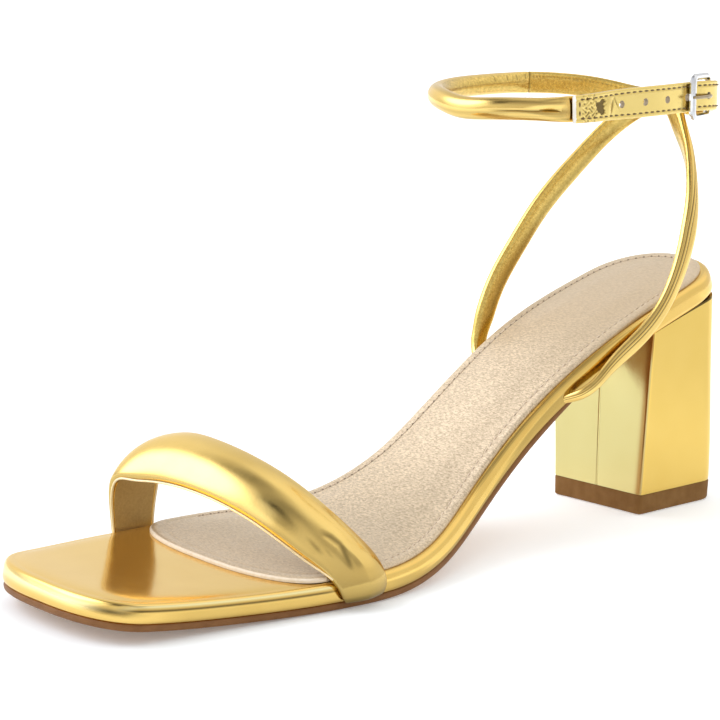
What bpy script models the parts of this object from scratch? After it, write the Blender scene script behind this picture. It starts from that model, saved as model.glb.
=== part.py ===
"""Ankle strap heeled sandal: one left shoe, about European size 38, standing on its sole.

Modelling frame: X runs from the back of the heel to the toe, +Y is the outer side of a
left foot and Z is up. Sizes are in millimetres and become metres when a mesh is made.
A parent empty then puts the origin at the bottom centre of the whole shoe.
"""

import math

import bmesh
import bpy
import numpy as np
from mathutils import Matrix, Vector

MM = 0.001
GAP = 0.3

# Sole: thickness of the sock over the footbed and of the outsole under it
SOCK_THICK = 1.2
OUTSOLE_THICK = 1.5

# Sole: how its outline closes at both ends
SHOE_BACK = 3.4
SHOE_FRONT = 241.0
OUTSOLE_BACK = 41.2
HEEL_ROUND = 19.0
HEEL_POWER = 2.2
TOE_ROUND = 13.0
TOE_POWER = 2.6
SOCK_INSET = 2.4
SOCK_FRONT = 193.5
SOCK_FRONT_ROUND = 15.0
SOCK_FRONT_POWER = 2.5

# Sole: side of each layer, one row a level from its bottom up. A level is a share of the
# footbed's thickness down from its top, then a lift.
OUTSOLE_SIDE = (
    # inset, share, lift
    (0.9, 1, -GAP - OUTSOLE_THICK),
    (0.4, 1, -GAP - OUTSOLE_THICK + 0.5),
    (0.4, 1, -GAP),
)
FOOTBED_SIDE = (
    # inset, share, lift
    (0.9, 1, 0.0),
    (0.2, 1, 0.7),
    (0.0, 1, 2.4),
    (0.2, 0, -1.6),
    (0.75, 0, -0.5),
    (1.8, 0, 0.0),
)
SOCK_SIDE = (
    # inset, share, lift
    (SOCK_INSET, 0, GAP),
    (SOCK_INSET, 0, GAP + SOCK_THICK - 0.4),
    (SOCK_INSET + 0.5, 0, GAP + SOCK_THICK),
)

# One row a station: distance from the heel's back, height of the footbed's top, reach of its
# edge to the lateral side and to the medial side, thickness of the footbed
SOLE = np.array((
    # along, height, lateral, medial, thickness
    (0.0, 76.4, 21.2, -20.8, 7.2),
    (30.0, 67.2, 22.9, -22.2, 6.7),
    (60.0, 55.7, 22.9, -23.4, 6.4),
    (90.0, 37.3, 20.6, -23.5, 6.0),
    (115.0, 20.1, 24.0, -25.8, 5.8),
    (135.0, 11.1, 31.4, -31.6, 5.8),
    (152.0, 7.9, 35.4, -38.0, 5.8),
    (165.0, 7.5, 35.6, -41.2, 5.8),
    (178.0, 7.5, 34.0, -42.0, 5.8),
    (205.0, 8.5, 29.6, -40.4, 5.8),
    (225.0, 10.1, 26.2, -36.4, 5.8),
    (241.0, 12.1, 22.6, -31.6, 5.8),
))

# Rise of the footbed's top at its medial edge, one row a station
INNER_RISE = np.array((
    # along, rise
    (110.0, 0.0),
    (160.0, 1.9),
    (200.0, 1.9),
    (241.0, 1.1),
))

# Heel: block and the wearing piece under it
TOP_PIECE_HEIGHT = 6.0
HEEL_CORNER = 1.2
# One row a level, given as a share of the way up the block
HEEL = np.array((
    # share, half width, breast, back
    (-0.12, 18.3, 40.6, 3.0),
    (0.0, 18.6, 40.3, 2.8),
    (0.5, 19.9, 39.6, 4.4),
    (1.0, 21.2, 38.8, 6.2),
))
HEEL_BACK_ROUND = 9.5
HEEL_BACK_POWER = 2.6

# Toe strap: a padded band over the toes, one row a station from the medial rim to the
# lateral rim. The point is the middle of the flat lining, and tilt drops the front edge.
STRAP_EDGE = 1.3
TOE_STRAP = np.array((
    # x, y, z, width, thickness, tilt
    (185.4, -42.4, 2.6, 13.0, 2.6, 0.0),
    (185.4, -42.6, 10.5, 14.0, 3.0, 4.0),
    (185.2, -42.1, 18.6, 16.0, 4.2, 12.0),
    (184.6, -39.6, 25.8, 18.2, 5.6, 24.0),
    (182.8, -31.0, 30.1, 19.2, 5.6, 31.0),
    (181.2, -18.0, 30.7, 18.6, 5.4, 30.0),
    (179.4, -4.0, 28.8, 18.0, 5.4, 26.0),
    (176.8, 9.0, 24.8, 17.6, 5.4, 22.0),
    (173.7, 20.0, 19.1, 17.2, 5.2, 18.0),
    (170.4, 28.4, 13.5, 16.6, 4.6, 12.0),
    (168.2, 34.4, 8.8, 15.5, 3.8, 5.0),
    (167.5, 36.2, 5.6, 14.8, 3.2, 2.0),
    (167.2, 36.4, 2.4, 14.0, 2.8, 0.0),
))

# Ankle loop: line of the strap round the ankle, one row a station from the sewn end on the
# lateral side past the buckle, the back and the front to the sewn end again
LOOP = np.array((
    # x, y, z
    (80.5, 24.0, 125.7),
    (62.0, 25.6, 126.3),
    (44.0, 25.8, 126.8),
    (31.0, 24.8, 127.1),
    (19.4, 21.6, 127.1),
    (12.4, 16.0, 126.2),
    (7.4, 8.0, 124.6),
    (4.8, -3.0, 123.4),
    (7.0, -14.8, 124.0),
    (15.0, -23.6, 126.6),
    (28.0, -28.2, 128.6),
    (44.0, -29.6, 129.6),
    (62.0, -29.4, 129.6),
    (78.0, -26.6, 129.2),
    (90.0, -20.0, 128.5),
    (97.5, -10.0, 127.7),
    (100.4, 1.5, 127.0),
    (97.6, 11.6, 126.3),
    (90.6, 18.6, 125.9),
    (80.5, 24.0, 125.7),
    (74.0, 25.0, 125.9),
))
START_ROW = 4
# Section of the ankle strap, one row a station by its length along the loop
ANKLE_STRAP = np.array((
    # along, tall, thickness, squareness
    (3.9, 6.6, 1.7, 5.0),
    (80.0, 6.6, 1.7, 5.0),
    (84.0, 6.6, 2.0, 4.0),
    (91.0, 6.4, 4.6, 2.2),
    (99.0, 6.4, 6.0, 2.0),
    (172.0, 6.4, 6.0, 2.0),
    (180.0, 6.5, 5.2, 2.1),
    (186.0, 7.0, 2.6, 3.0),
    (189.0, 7.4, 1.7, 5.0),
    (195.5, 7.4, 1.7, 5.0),
))

# Slings: one band from the lateral rim up round the back of the ankle to the medial rim
SLING_WIDTH = 6.4
SLING_THICK = 3.4
SLING_TURN = (25.0, -3.0)
# Block that trims the slings' ends: its run along X, lift over the underside, depth and width
WAIST = (50.0, 100.0)
WAIST_LIFT = 0.6
WAIST_DEEP = 25.0
WAIST_WIDE = 100.0
SLINGS = (
    # x, y, z
    (78.6, 23.4, 36.8),
    (73.7, 24.1, 43.2),
    (65.5, 25.0, 50.0),
    (52.4, 26.0, 58.2),
    (41.8, 26.0, 65.8),
    (33.6, 24.4, 74.4),
    (26.6, 21.8, 83.6),
    (20.6, 18.2, 92.4),
    (15.6, 13.6, 100.8),
    (11.6, 8.0, 109.4),
    (8.6, 1.6, 117.4),
    (6.6, -5.0, 123.6),
    (8.2, -13.0, 121.8),
    (13.4, -20.6, 115.4),
    (22.2, -25.0, 106.2),
    (31.6, -26.6, 98.0),
    (40.4, -27.4, 89.6),
    (49.0, -27.8, 79.6),
    (57.2, -27.9, 69.2),
    (63.6, -27.2, 57.6),
    (67.0, -26.0, 49.4),
    (69.2, -25.4, 40.0),
)

# Buckle strap: flat strap sewn on the padded end, through the buckle and round the back
STRAP_TALL = 8.8
STRAP_THICK = 1.7
SEWN_TALL = 7.8
SEWN_TAPER = 24.0
STRAP_TAIL = 30.0
STRAP_TIP = 4.0
HOLE_PITCH = 9.7
HOLE_COUNT = 5
HOLE_RADIUS = 1.1
# Way out from the loop's line along the strap
STRAP_LIFT = np.array((
    # along, outward
    (-66.0, 2.1),
    (-54.0, 2.1),
    (-46.0, 0.3),
    (-40.0, 0.0),
    (-20.0, 0.0),
    (-12.4, 0.0),
    (-8.0, 0.6),
    (-3.6, 1.6),
    (0.0, 2.2),
    (2.6, 2.4),
    (7.0, 2.15),
    (12.0, 2.1),
    (31.0, 2.1),
))

# Buckle: a rectangular wire frame, its hinge bar under the strap, and a prong
HINGE_ALONG = 2.6
FRONT_BAR_ALONG = -12.4
FRAME_TALL = 11.8
FRAME_WIRE = 0.85
FRAME_CORNER = 2.0
HINGE_OUT = 0.2
FRONT_BAR_OUT = 2.05
PRONG_WIRE = 0.55
PRONG_HOLE_ALONG = -3.7
# Way of the prong from its hook through the hole to the front bar
PRONG_RISE = (
    # along, outward
    (-1.0, -0.1),
    (-2.5, 0.2),
    (-3.45, 0.95),
    (-3.75, 1.9),
    (-4.2, 2.9),
    (-5.2, 3.7),
    (-6.8, 4.1),
    (-9.4, 4.1),
)
PRONG_TIP = 1.4


def spline(stations, values):
    """Natural cubic through the rows of a table, as a function of the station."""
    x = np.asarray(stations, float)
    y = np.asarray(values, float)
    step = np.diff(x)
    count = len(x)
    system = np.eye(count)
    right = np.zeros(count)
    for i in range(1, count - 1):
        system[i, i - 1:i + 2] = step[i - 1], 2 * (step[i - 1] + step[i]), step[i]
        right[i] = 6 * ((y[i + 1] - y[i]) / step[i] - (y[i] - y[i - 1]) / step[i - 1])
    bend = np.linalg.solve(system, right)

    def value(station):
        i = np.clip(np.searchsorted(x, station) - 1, 0, count - 2)
        after, before = station - x[i], x[i + 1] - station
        curve = (bend[i] * before ** 3 + bend[i + 1] * after ** 3) / (6 * step[i])
        start = (y[i] / step[i] - bend[i] * step[i] / 6) * before
        return curve + start + (y[i + 1] / step[i] - bend[i + 1] * step[i] / 6) * after

    return value


def unit(vectors):
    """Vectors scaled to length one, row by row."""
    return vectors / np.linalg.norm(vectors, axis=-1, keepdims=True)


def through(points, count):
    """Evenly spaced points on a smooth curve through the given points."""
    points = np.asarray(points, float)
    chord = np.concatenate(([0.0], np.cumsum(np.linalg.norm(np.diff(points[:, :3], axis=0), axis=1))))
    at = np.linspace(0.0, chord[-1], count)
    return np.stack([spline(chord, column)(at) for column in points.T], axis=1)


def add_object(name, mesh):
    """Object of a finished mesh, shaded smooth but for its sharp edges."""
    mesh.shade_smooth()
    mesh.set_sharp_from_angle(angle=math.radians(40))
    shape = bpy.data.objects.new(name, mesh)
    parts.objects.link(shape)
    return shape


def loft_mesh(name, rings):
    """Closed mesh through rings of points, with both end rings filled by a ladder of faces."""
    rings = np.asarray(rings, float)
    levels, around = rings.shape[:2]
    half = around // 2
    shell = bmesh.new()
    grid = [[shell.verts.new(Vector(point) * MM) for point in ring] for ring in rings]
    for low, high in zip(grid, grid[1:]):
        for k in range(around):
            m = (k + 1) % around
            shell.faces.new((low[k], low[m], high[m], high[k]))
    for ring in (grid[0], grid[-1]):
        for k in range(half - 1):
            shell.faces.new((ring[k], ring[k + 1], ring[around - 2 - k], ring[around - 1 - k]))
    bmesh.ops.recalc_face_normals(shell, faces=shell.faces)
    mesh = bpy.data.meshes.new(name)
    shell.to_mesh(mesh)
    shell.free()
    return mesh


def tube_mesh(name, points, radius, closed=False):
    """Round wire through the points, as a welded mesh."""
    curve = bpy.data.curves.new(name, "CURVE")
    curve.dimensions = "3D"
    curve.bevel_depth = radius * MM
    curve.bevel_resolution = 2
    curve.use_fill_caps = True
    line = curve.splines.new("POLY")
    line.points.add(len(points) - 1)
    for slot, point in zip(line.points, points):
        slot.co = (*(Vector(point) * MM), 1.0)
    line.use_cyclic_u = closed
    wire = bpy.data.objects.new(name, curve)
    parts.objects.link(wire)
    bpy.context.view_layer.update()
    seen = wire.evaluated_get(bpy.context.evaluated_depsgraph_get())
    mesh = bpy.data.meshes.new_from_object(seen)
    bpy.data.objects.remove(wire)
    weld = bmesh.new()
    weld.from_mesh(mesh)
    bmesh.ops.remove_doubles(weld, verts=weld.verts, dist=0.00001)
    bmesh.ops.recalc_face_normals(weld, faces=weld.faces)
    weld.to_mesh(mesh)
    weld.free()
    return mesh


# Shape of the sole, shared by its layers, the heel and the straps' ends
sole_height = spline(SOLE[:, 0], SOLE[:, 1])
sole_lateral = spline(SOLE[:, 0], SOLE[:, 2])
sole_medial = spline(SOLE[:, 0], SOLE[:, 3])
sole_thick = spline(SOLE[:, 0], SOLE[:, 4])


def inner_rise(x, y):
    """Rise of the footbed's top towards the medial side of the forefoot."""
    across = (sole_lateral(x) - y) / (sole_lateral(x) - sole_medial(x))
    return np.interp(x, INNER_RISE[:, 0], INNER_RISE[:, 1]) * np.clip(across, 0, 1)


def on_sole(x, y, share, lift):
    """Point square to the footbed's top: a share of its thickness down, then a lift."""
    small = 0.05
    rise = (sole_height(x + small) - sole_height(x - small)) / (2 * small)
    tall = lift - share * sole_thick(x) + (1 - share) * inner_rise(x, y)
    tall = tall / np.sqrt(1 + rise ** 2)
    return np.stack([x - rise * tall, y, np.maximum(sole_height(x) + tall, 0.0)], axis=-1)


def under_footbed(x):
    """Height over the floor just below the footbed."""
    line = on_sole(np.linspace(-10, SHOE_FRONT, 400), np.zeros(400), 1, -GAP)
    return np.interp(x, line[:, 0], line[:, 2])


def end_rounding(distance, length, power):
    """Share of the full width at a distance from a rounded end."""
    share = np.clip(1 - distance / length, 0, 1)
    return (1 - share ** power) ** (1 / power)


def outline(inset, start, end, end_round, end_power, rows=40):
    """Edge of a sole layer: the lateral side heel to toe, then the medial side back."""
    share = (1 - np.cos(np.linspace(0.06, math.pi - 0.05, rows))) / 2
    x = start + inset + (end - start - 2 * inset) * share
    wide = (sole_lateral(x) - sole_medial(x)) / 2 - inset
    middle = (sole_lateral(x) + sole_medial(x)) / 2
    if start == SHOE_BACK:
        wide = wide * end_rounding(x - start - inset, HEEL_ROUND, HEEL_POWER)
    wide = wide * end_rounding(end - inset - x, end_round, end_power)
    lateral = np.stack([x, middle + wide], axis=1)
    medial = np.stack([x, middle - wide], axis=1)
    return np.concatenate([lateral, medial[::-1]])


def sole_layer(name, layers, start=SHOE_BACK, end=SHOE_FRONT, end_round=TOE_ROUND, end_power=TOE_POWER):
    """Layer of the sole from the rows of its side."""
    rings = []
    for inset, share, lift in layers:
        edge = outline(inset, start, end, end_round, end_power)
        rings.append(on_sole(edge[:, 0], edge[:, 1], share, lift))
    return add_object(name, loft_mesh(name, rings))


def make_outsole():
    """Thin brown sole from the heel's breast to the toe."""
    return sole_layer("outsole", OUTSOLE_SIDE, start=OUTSOLE_BACK)


def make_footbed():
    """Foil-wrapped board under the whole foot, with a rolled upper edge."""
    return sole_layer("footbed", FOOTBED_SIDE)


def make_sock():
    """Padded leather sock on the footbed, ending under the toe strap."""
    return sole_layer("sock", SOCK_SIDE, end=SOCK_FRONT, end_round=SOCK_FRONT_ROUND,
                      end_power=SOCK_FRONT_POWER)


def heel_ring(share, rows=22):
    """Plan outline of the heel at a level: straight breast, straight sides, round back."""
    wide, breast, back = (spline(HEEL[:, 0], HEEL[:, k])(share) for k in (1, 2, 3))
    step = np.linspace(0.12, 1, rows - 1) ** 2 * (breast - HEEL_CORNER - back)
    x = np.append(back + step, breast)
    half = wide * end_rounding(x - back, HEEL_BACK_ROUND, HEEL_BACK_POWER)
    half[-1] -= HEEL_CORNER
    side = np.stack([x, half], axis=1)
    return np.concatenate([side, side[::-1] * (1, -1)])


def make_heel_top_piece():
    """Brown wearing piece that the heel stands on."""
    rings = []
    for share, z in ((HEEL[0, 0], 0.0), (0.0, TOP_PIECE_HEIGHT)):
        plan = heel_ring(share)
        rings.append(np.column_stack([plan, np.full(len(plan), z)]))
    return add_object("heel_top_piece", loft_mesh("heel_top_piece", rings))


def make_heel_block():
    """Foil-covered block from the wearing piece up to the underside of the footbed."""
    rings = []
    low = TOP_PIECE_HEIGHT + GAP
    for share in np.linspace(0, 1, 5):
        plan = heel_ring(share)
        high = under_footbed(plan[:, 0])
        rings.append(np.column_stack([plan, low + (high - low) * share]))
    return add_object("heel_block", loft_mesh("heel_block", rings))


def oval_section(tall, thick, squareness, count):
    """Ring of a strap section, as columns of up and out, round at squareness 2."""
    turn = 2 * math.pi * (np.arange(count) + 0.5) / count
    power = 2 / squareness
    up = np.sign(np.cos(turn)) * np.abs(np.cos(turn)) ** power * tall / 2
    out = np.sign(np.sin(turn)) * np.abs(np.sin(turn)) ** power * thick / 2
    return up, out


def padded_section(width, thick, count):
    """Ring of a padded section, as columns of across and out: crowned outside, flat lining."""
    turn = np.linspace(0, math.pi, count // 2)
    across = np.cos(turn) * width / 2
    crown = STRAP_EDGE + (thick - STRAP_EDGE) * np.sin(turn) ** 0.85
    return np.append(across, across[::-1]), np.append(crown, np.zeros(count // 2))


def make_toe_strap():
    """Padded band over the toes, down outside the footbed's rim to the outsole."""
    rows = through(TOE_STRAP, 38)
    along = unit(np.gradient(rows[:, :3], axis=0))
    tilt = np.radians(rows[:, 5])
    front = np.stack([np.cos(tilt), np.zeros(len(tilt)), -np.sin(tilt)], axis=1)
    front = unit(front - along * np.sum(front * along, axis=1, keepdims=True))
    outward = np.cross(front, along)
    rings = []
    for row, ahead, out in zip(rows, front, outward):
        across, crown = padded_section(row[3], row[4], 22)
        rings.append(row[:3] + np.outer(across, ahead) + np.outer(crown, out))
    return add_object("toe_strap", loft_mesh("toe_strap", rings))


LOOP_COUNT = 400
loop_line = through(LOOP, LOOP_COUNT)
loop_steps = np.linalg.norm(np.diff(loop_line, axis=0), axis=1)
loop_lengths = np.concatenate([[0.0], np.cumsum(loop_steps)])
start_at = np.argmin(np.linalg.norm(loop_line - LOOP[START_ROW], axis=1))
loop_lengths = loop_lengths - loop_lengths[start_at]
SEWN_END = loop_lengths[0]


def loop_point(along):
    """Point on the ankle loop's line at a length from the start row."""
    return np.stack([np.interp(along, loop_lengths, column) for column in loop_line.T], axis=-1)


def loop_frame(along):
    """Points on the loop with the directions out of it and up."""
    reach = 1.5
    low = np.clip(along - reach, loop_lengths[0], loop_lengths[-1])
    high = np.clip(along + reach, loop_lengths[0], loop_lengths[-1])
    forward = unit(loop_point(high) - loop_point(low))
    outward = unit(np.cross(forward, (0.0, 0.0, 1.0)))
    return loop_point(along), outward, np.cross(outward, forward)


def beside_loop(along, out, up=0.0):
    """Point at a length along the loop, moved out and up from its line."""
    point, outward, upward = loop_frame(np.asarray(along, float))
    return point + outward * out + upward * up


def ankle_loop_mesh():
    """Padded strap round the front of the ankle that runs flat round the back."""
    along = np.linspace(ANKLE_STRAP[0, 0], ANKLE_STRAP[-1, 0], 84)
    sizes = [np.interp(along, ANKLE_STRAP[:, 0], ANKLE_STRAP[:, k]) for k in (1, 2, 3)]
    points, outward, upward = loop_frame(along)
    rings = []
    for point, out, up, tall, thick, square in zip(points, outward, upward, *sizes):
        rise, reach = oval_section(tall, thick, square, 14)
        rings.append(point + np.outer(rise, up) + np.outer(reach, out))
    return loft_mesh("ankle_strap", rings)


def sling_mesh():
    """Band from the lateral rim round the back of the ankle to the medial rim."""
    points = through(SLINGS, 62)
    forward = unit(np.gradient(points, axis=0))
    back = np.minimum(points[:, 0] - SLING_TURN[0], 0.0)
    outward = np.stack([back, points[:, 1] - SLING_TURN[1], np.zeros(len(points))], axis=1)
    outward = unit(outward - forward * np.sum(outward * forward, axis=1, keepdims=True))
    across = np.cross(forward, outward)
    wide, thick = oval_section(SLING_WIDTH, SLING_THICK, 2.6, 12)
    rings = points[:, None] + wide[:, None] * across[:, None] + thick[:, None] * outward[:, None]
    return loft_mesh("slings", rings)


def waist_underside_mesh():
    """Block under the footbed's waist, for cutting the slings off level with its underside."""
    x = np.linspace(*WAIST, 24)
    top = on_sole(x, np.zeros(len(x)), 1, WAIST_LIFT)
    ring = np.concatenate([top, top[::-1] - (0.0, 0.0, WAIST_DEEP)])
    reach = WAIST_WIDE / 2
    return loft_mesh("waist_underside", [ring + (0.0, side, 0.0) for side in (-reach, reach)])


def add_boolean(shape, operation, other):
    """Exact Boolean of a shape with a cutter."""
    change = shape.modifiers.new(other.name, "BOOLEAN")
    change.operation = operation
    change.solver = "EXACT"
    change.object = other


def make_ankle_strap():
    """Ankle loop and slings, joined where they cross at the back."""
    strap = add_object("ankle_strap", ankle_loop_mesh())
    add_boolean(strap, "UNION", add_cutter("slings", sling_mesh()))
    add_boolean(strap, "DIFFERENCE", add_cutter("waist_underside", waist_underside_mesh()))
    return strap


def make_buckle_strap():
    """Flat strap with punched holes, sewn on the padded end and run through the buckle."""
    along = np.linspace(SEWN_END, STRAP_TAIL, 56)
    out = spline(STRAP_LIFT[:, 0], STRAP_LIFT[:, 1])(along)
    tall = np.interp(along - SEWN_END, (0.0, SEWN_TAPER), (SEWN_TALL, STRAP_TALL))
    tall = tall * np.maximum(end_rounding(STRAP_TAIL - along, STRAP_TIP, 2.0), 0.4)
    points, outward, upward = loop_frame(along)
    rings = []
    for point, push, rise, lift, high in zip(points, outward, upward, out, tall):
        up, thick = oval_section(high, STRAP_THICK, 5.0, 12)
        rings.append(point + np.outer(up, rise) + np.outer(thick + lift, push))
    strap = add_object("buckle_strap", loft_mesh("buckle_strap", rings))
    for k in range(HOLE_COUNT):
        punch_hole(strap, PRONG_HOLE_ALONG - k * HOLE_PITCH)
    return strap


def punch_hole(strap, along):
    """Round hole through the strap at a length along the loop."""
    point, outward, _ = loop_frame(np.array(along))
    bore = bmesh.new()
    bmesh.ops.create_cone(bore, cap_ends=True, segments=10, radius1=HOLE_RADIUS * MM,
                          radius2=HOLE_RADIUS * MM, depth=2 * STRAP_TALL * MM)
    turn = Vector(outward).to_track_quat("Z", "Y").to_matrix().to_4x4()
    bore.transform(Matrix.Translation(Vector(point) * MM) @ turn)
    mesh = bpy.data.meshes.new("hole")
    bore.to_mesh(mesh)
    bore.free()
    add_boolean(strap, "DIFFERENCE", add_cutter("hole", mesh))


def make_buckle_frame():
    """Rectangular wire frame: hinge bar under the strap, front bar over it."""
    hinge = beside_loop(HINGE_ALONG, HINGE_OUT)
    front = beside_loop(FRONT_BAR_ALONG, FRONT_BAR_OUT)
    upward = loop_frame(np.array((HINGE_ALONG + FRONT_BAR_ALONG) / 2))[2]
    ahead = unit(front - hinge)
    middle = (hinge + front) / 2
    long = np.linalg.norm(front - hinge) / 2 - FRAME_CORNER
    tall = FRAME_TALL / 2 - FRAME_CORNER
    points = []
    for k, (side, level) in enumerate(((1, 1), (-1, 1), (-1, -1), (1, -1))):
        for turn in np.radians(90 * k + np.linspace(0, 90, 5)):
            across = side * long + FRAME_CORNER * math.cos(turn)
            up = level * tall + FRAME_CORNER * math.sin(turn)
            points.append(middle + ahead * across + upward * up)
    return add_object("buckle_frame", tube_mesh("buckle_frame", points, FRAME_WIRE, closed=True))


def make_buckle_prong():
    """Prong hooked on the hinge bar, up through a hole and onto the front bar."""
    hook = FRAME_WIRE + GAP + PRONG_WIRE
    turns = np.radians(np.linspace(270, 180, 5))
    route = [(HINGE_ALONG + hook * math.cos(turn), HINGE_OUT + hook * math.sin(turn)) for turn in turns]
    rest = FRONT_BAR_OUT + FRAME_WIRE + GAP + PRONG_WIRE
    route += PRONG_RISE
    route += [(FRONT_BAR_ALONG, rest), (FRONT_BAR_ALONG - PRONG_TIP, rest - GAP)]
    points = through([beside_loop(along, out) for along, out in route], 26)
    return add_object("buckle_prong", tube_mesh("buckle_prong", points, PRONG_WIRE))


def add_cutter(name, mesh):
    """Helper shape that a modifier uses and that isn't part of the shoe."""
    shape = bpy.data.objects.new(name, mesh)
    shape.hide_render = True
    shape.display_type = "WIRE"
    cutters.objects.link(shape)
    return shape


# Colour, metallic value and roughness of each piece
FINISHES = {
    "outsole": ((0.28, 0.16, 0.08), 0.0, 0.55),
    "footbed": ((0.83, 0.58, 0.16), 1.0, 0.18),
    "sock": ((0.72, 0.58, 0.43), 0.4, 0.45),
    "heel_block": ((0.83, 0.58, 0.16), 1.0, 0.18),
    "heel_top_piece": ((0.25, 0.15, 0.08), 0.0, 0.6),
    "toe_strap": ((0.83, 0.58, 0.16), 1.0, 0.18),
    "ankle_strap": ((0.83, 0.58, 0.16), 1.0, 0.2),
    "buckle_strap": ((0.83, 0.58, 0.16), 1.0, 0.2),
    "buckle_frame": ((0.75, 0.75, 0.76), 1.0, 0.15),
    "buckle_prong": ((0.75, 0.75, 0.76), 1.0, 0.15),
}


def paint(shape):
    """Principled material of the piece's own."""
    colour, metallic, roughness = FINISHES[shape.name]
    finish = bpy.data.materials.new(shape.name)
    finish.use_nodes = True
    shader = finish.node_tree.nodes["Principled BSDF"]
    shader.inputs["Base Color"].default_value = (*colour, 1.0)
    shader.inputs["Metallic"].default_value = metallic
    shader.inputs["Roughness"].default_value = roughness
    shape.data.materials.append(finish)


def set_origin(pieces):
    """Parent the pieces to an empty that puts the origin at the shoe's bottom centre."""
    bpy.context.view_layer.update()
    graph = bpy.context.evaluated_depsgraph_get()
    corners = np.array([corner for piece in pieces for corner in piece.evaluated_get(graph).bound_box])
    low, high = corners.min(axis=0), corners.max(axis=0)
    root = bpy.data.objects.new("ankle_strap_sandal_origin", None)
    parts.objects.link(root)
    root.location = (-(low[0] + high[0]) / 2, -(low[1] + high[1]) / 2, -low[2])
    for shape in list(pieces) + list(cutters.objects):
        shape.parent = root


for old in list(bpy.data.objects):
    bpy.data.objects.remove(old)
parts = bpy.data.collections.new("ankle_strap_heeled_sandal")
cutters = bpy.data.collections.new("cutters")
for group in (parts, cutters):
    bpy.context.scene.collection.children.link(group)

sandal = [
    make_outsole(),
    make_footbed(),
    make_sock(),
    make_heel_block(),
    make_heel_top_piece(),
    make_toe_strap(),
    make_ankle_strap(),
    make_buckle_strap(),
    make_buckle_frame(),
    make_buckle_prong(),
]
for piece in sandal:
    paint(piece)
set_origin(sandal)
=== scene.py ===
"""Looks of the ankle strap heeled sandal, a left shoe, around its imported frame.

Tables are in millimetres in the modelling frame of the part: X from the heel's back to the
toe, +Y the outer side of the foot, Z up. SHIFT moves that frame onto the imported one.
"""

import math

import bmesh
import bpy
import numpy as np
from mathutils import Matrix, Vector


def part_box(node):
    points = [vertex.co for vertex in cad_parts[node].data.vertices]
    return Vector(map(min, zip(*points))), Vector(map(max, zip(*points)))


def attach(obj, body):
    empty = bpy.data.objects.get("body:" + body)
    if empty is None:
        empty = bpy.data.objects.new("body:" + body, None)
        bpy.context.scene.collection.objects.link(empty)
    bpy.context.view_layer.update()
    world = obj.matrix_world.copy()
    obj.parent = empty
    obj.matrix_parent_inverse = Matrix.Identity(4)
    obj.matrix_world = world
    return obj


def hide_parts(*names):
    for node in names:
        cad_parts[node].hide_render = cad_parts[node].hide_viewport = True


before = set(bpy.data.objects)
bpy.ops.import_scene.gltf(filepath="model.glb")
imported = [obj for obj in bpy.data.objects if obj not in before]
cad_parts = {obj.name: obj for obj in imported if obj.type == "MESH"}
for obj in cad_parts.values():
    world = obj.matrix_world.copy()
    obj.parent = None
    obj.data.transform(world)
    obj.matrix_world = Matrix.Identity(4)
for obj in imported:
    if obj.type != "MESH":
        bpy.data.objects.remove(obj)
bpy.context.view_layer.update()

MM = 0.001
GAP = 0.3
UP = np.array((0.0, 0.0, 1.0))

# Camera fitted to the photograph
CAMERA_AT = (531.1, 457.5, 168.5)
CAMERA_BACK = (0.6415, 0.7456, 0.1812)
CAMERA_LENS = 110.0
CAMERA_SENSOR = 36.0
CAMERA_CLIP = (0.01, 100.0)

# Sole, as in the part but for the top's roll at the toe
SHOE_BACK = 3.4
SHOE_FRONT = 241.0
OUTSOLE_BACK = 41.2
SOCK_THICK = 1.2
HEEL_ROUND = 19.0
HEEL_POWER = 2.2
TOE_ROUND = 13.0
TOE_POWER = 2.6
SOCK_INSET = 2.4
SOCK_FRONT = 193.5
SOCK_FRONT_ROUND = 15.0
SOCK_FRONT_POWER = 2.5
FRONT_THICK = 5.8
SOLE = np.array((
    # along, height, lateral, medial, thickness
    (0.0, 76.4, 21.2, -20.8, 7.2),
    (30.0, 67.2, 22.9, -22.2, 6.7),
    (60.0, 55.7, 22.9, -23.4, 6.4),
    (90.0, 37.3, 20.6, -23.5, 6.0),
    (115.0, 20.1, 24.0, -25.8, 5.8),
    (135.0, 11.1, 31.4, -31.6, 5.8),
    (152.0, 7.9, 35.4, -38.0, 5.8),
    (165.0, 7.5, 35.6, -41.2, 5.8),
    (178.0, 7.5, 34.0, -42.0, 5.8),
    (205.0, 8.5, 29.6, -40.4, 5.8),
    (225.0, 10.1, 26.2, -36.4, 5.8),
    (241.0, 12.1, 22.6, -31.6, 5.8),
))
INNER_RISE = ((110.0, 160.0, 200.0, 241.0), (0.0, 1.9, 1.9, 1.1))
FOOTBED_SIDE = (
    # inset, lift from the top
    (0.9, -5.8),
    (0.2, -5.1),
    (0.0, -3.4),
    (0.2, -1.6),
    (0.75, -0.5),
    (1.6, -0.05),
    (2.4, 0.0),
)
ROLL_ROW = 3
FOOTBED_DECK = (3.2, 4.2, 5.4, 6.8, 8.5, 12.0)
TOE_ROLL_FROM = (165.0, 200.0)
TOE_ROLL = (
    # insets and how far the top rolls down there at the toe
    (0.2, 0.75, 1.6, 2.4, 3.2, 4.2, 5.4, 6.8, 8.5),
    (0.0, 0.15, 0.4, 0.4, 0.28, 0.17, 0.08, 0.03, 0.0),
)
OUTSOLE_SIDE = (
    # inset, lift from the footbed's underside
    (6.0, -1.8),
    (1.4, -1.8),
    (0.95, -1.7),
    (0.6, -1.45),
    (0.45, -1.1),
    (0.4, -0.7),
    (0.4, -0.3),
    (0.55, 0.1),
)

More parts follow.
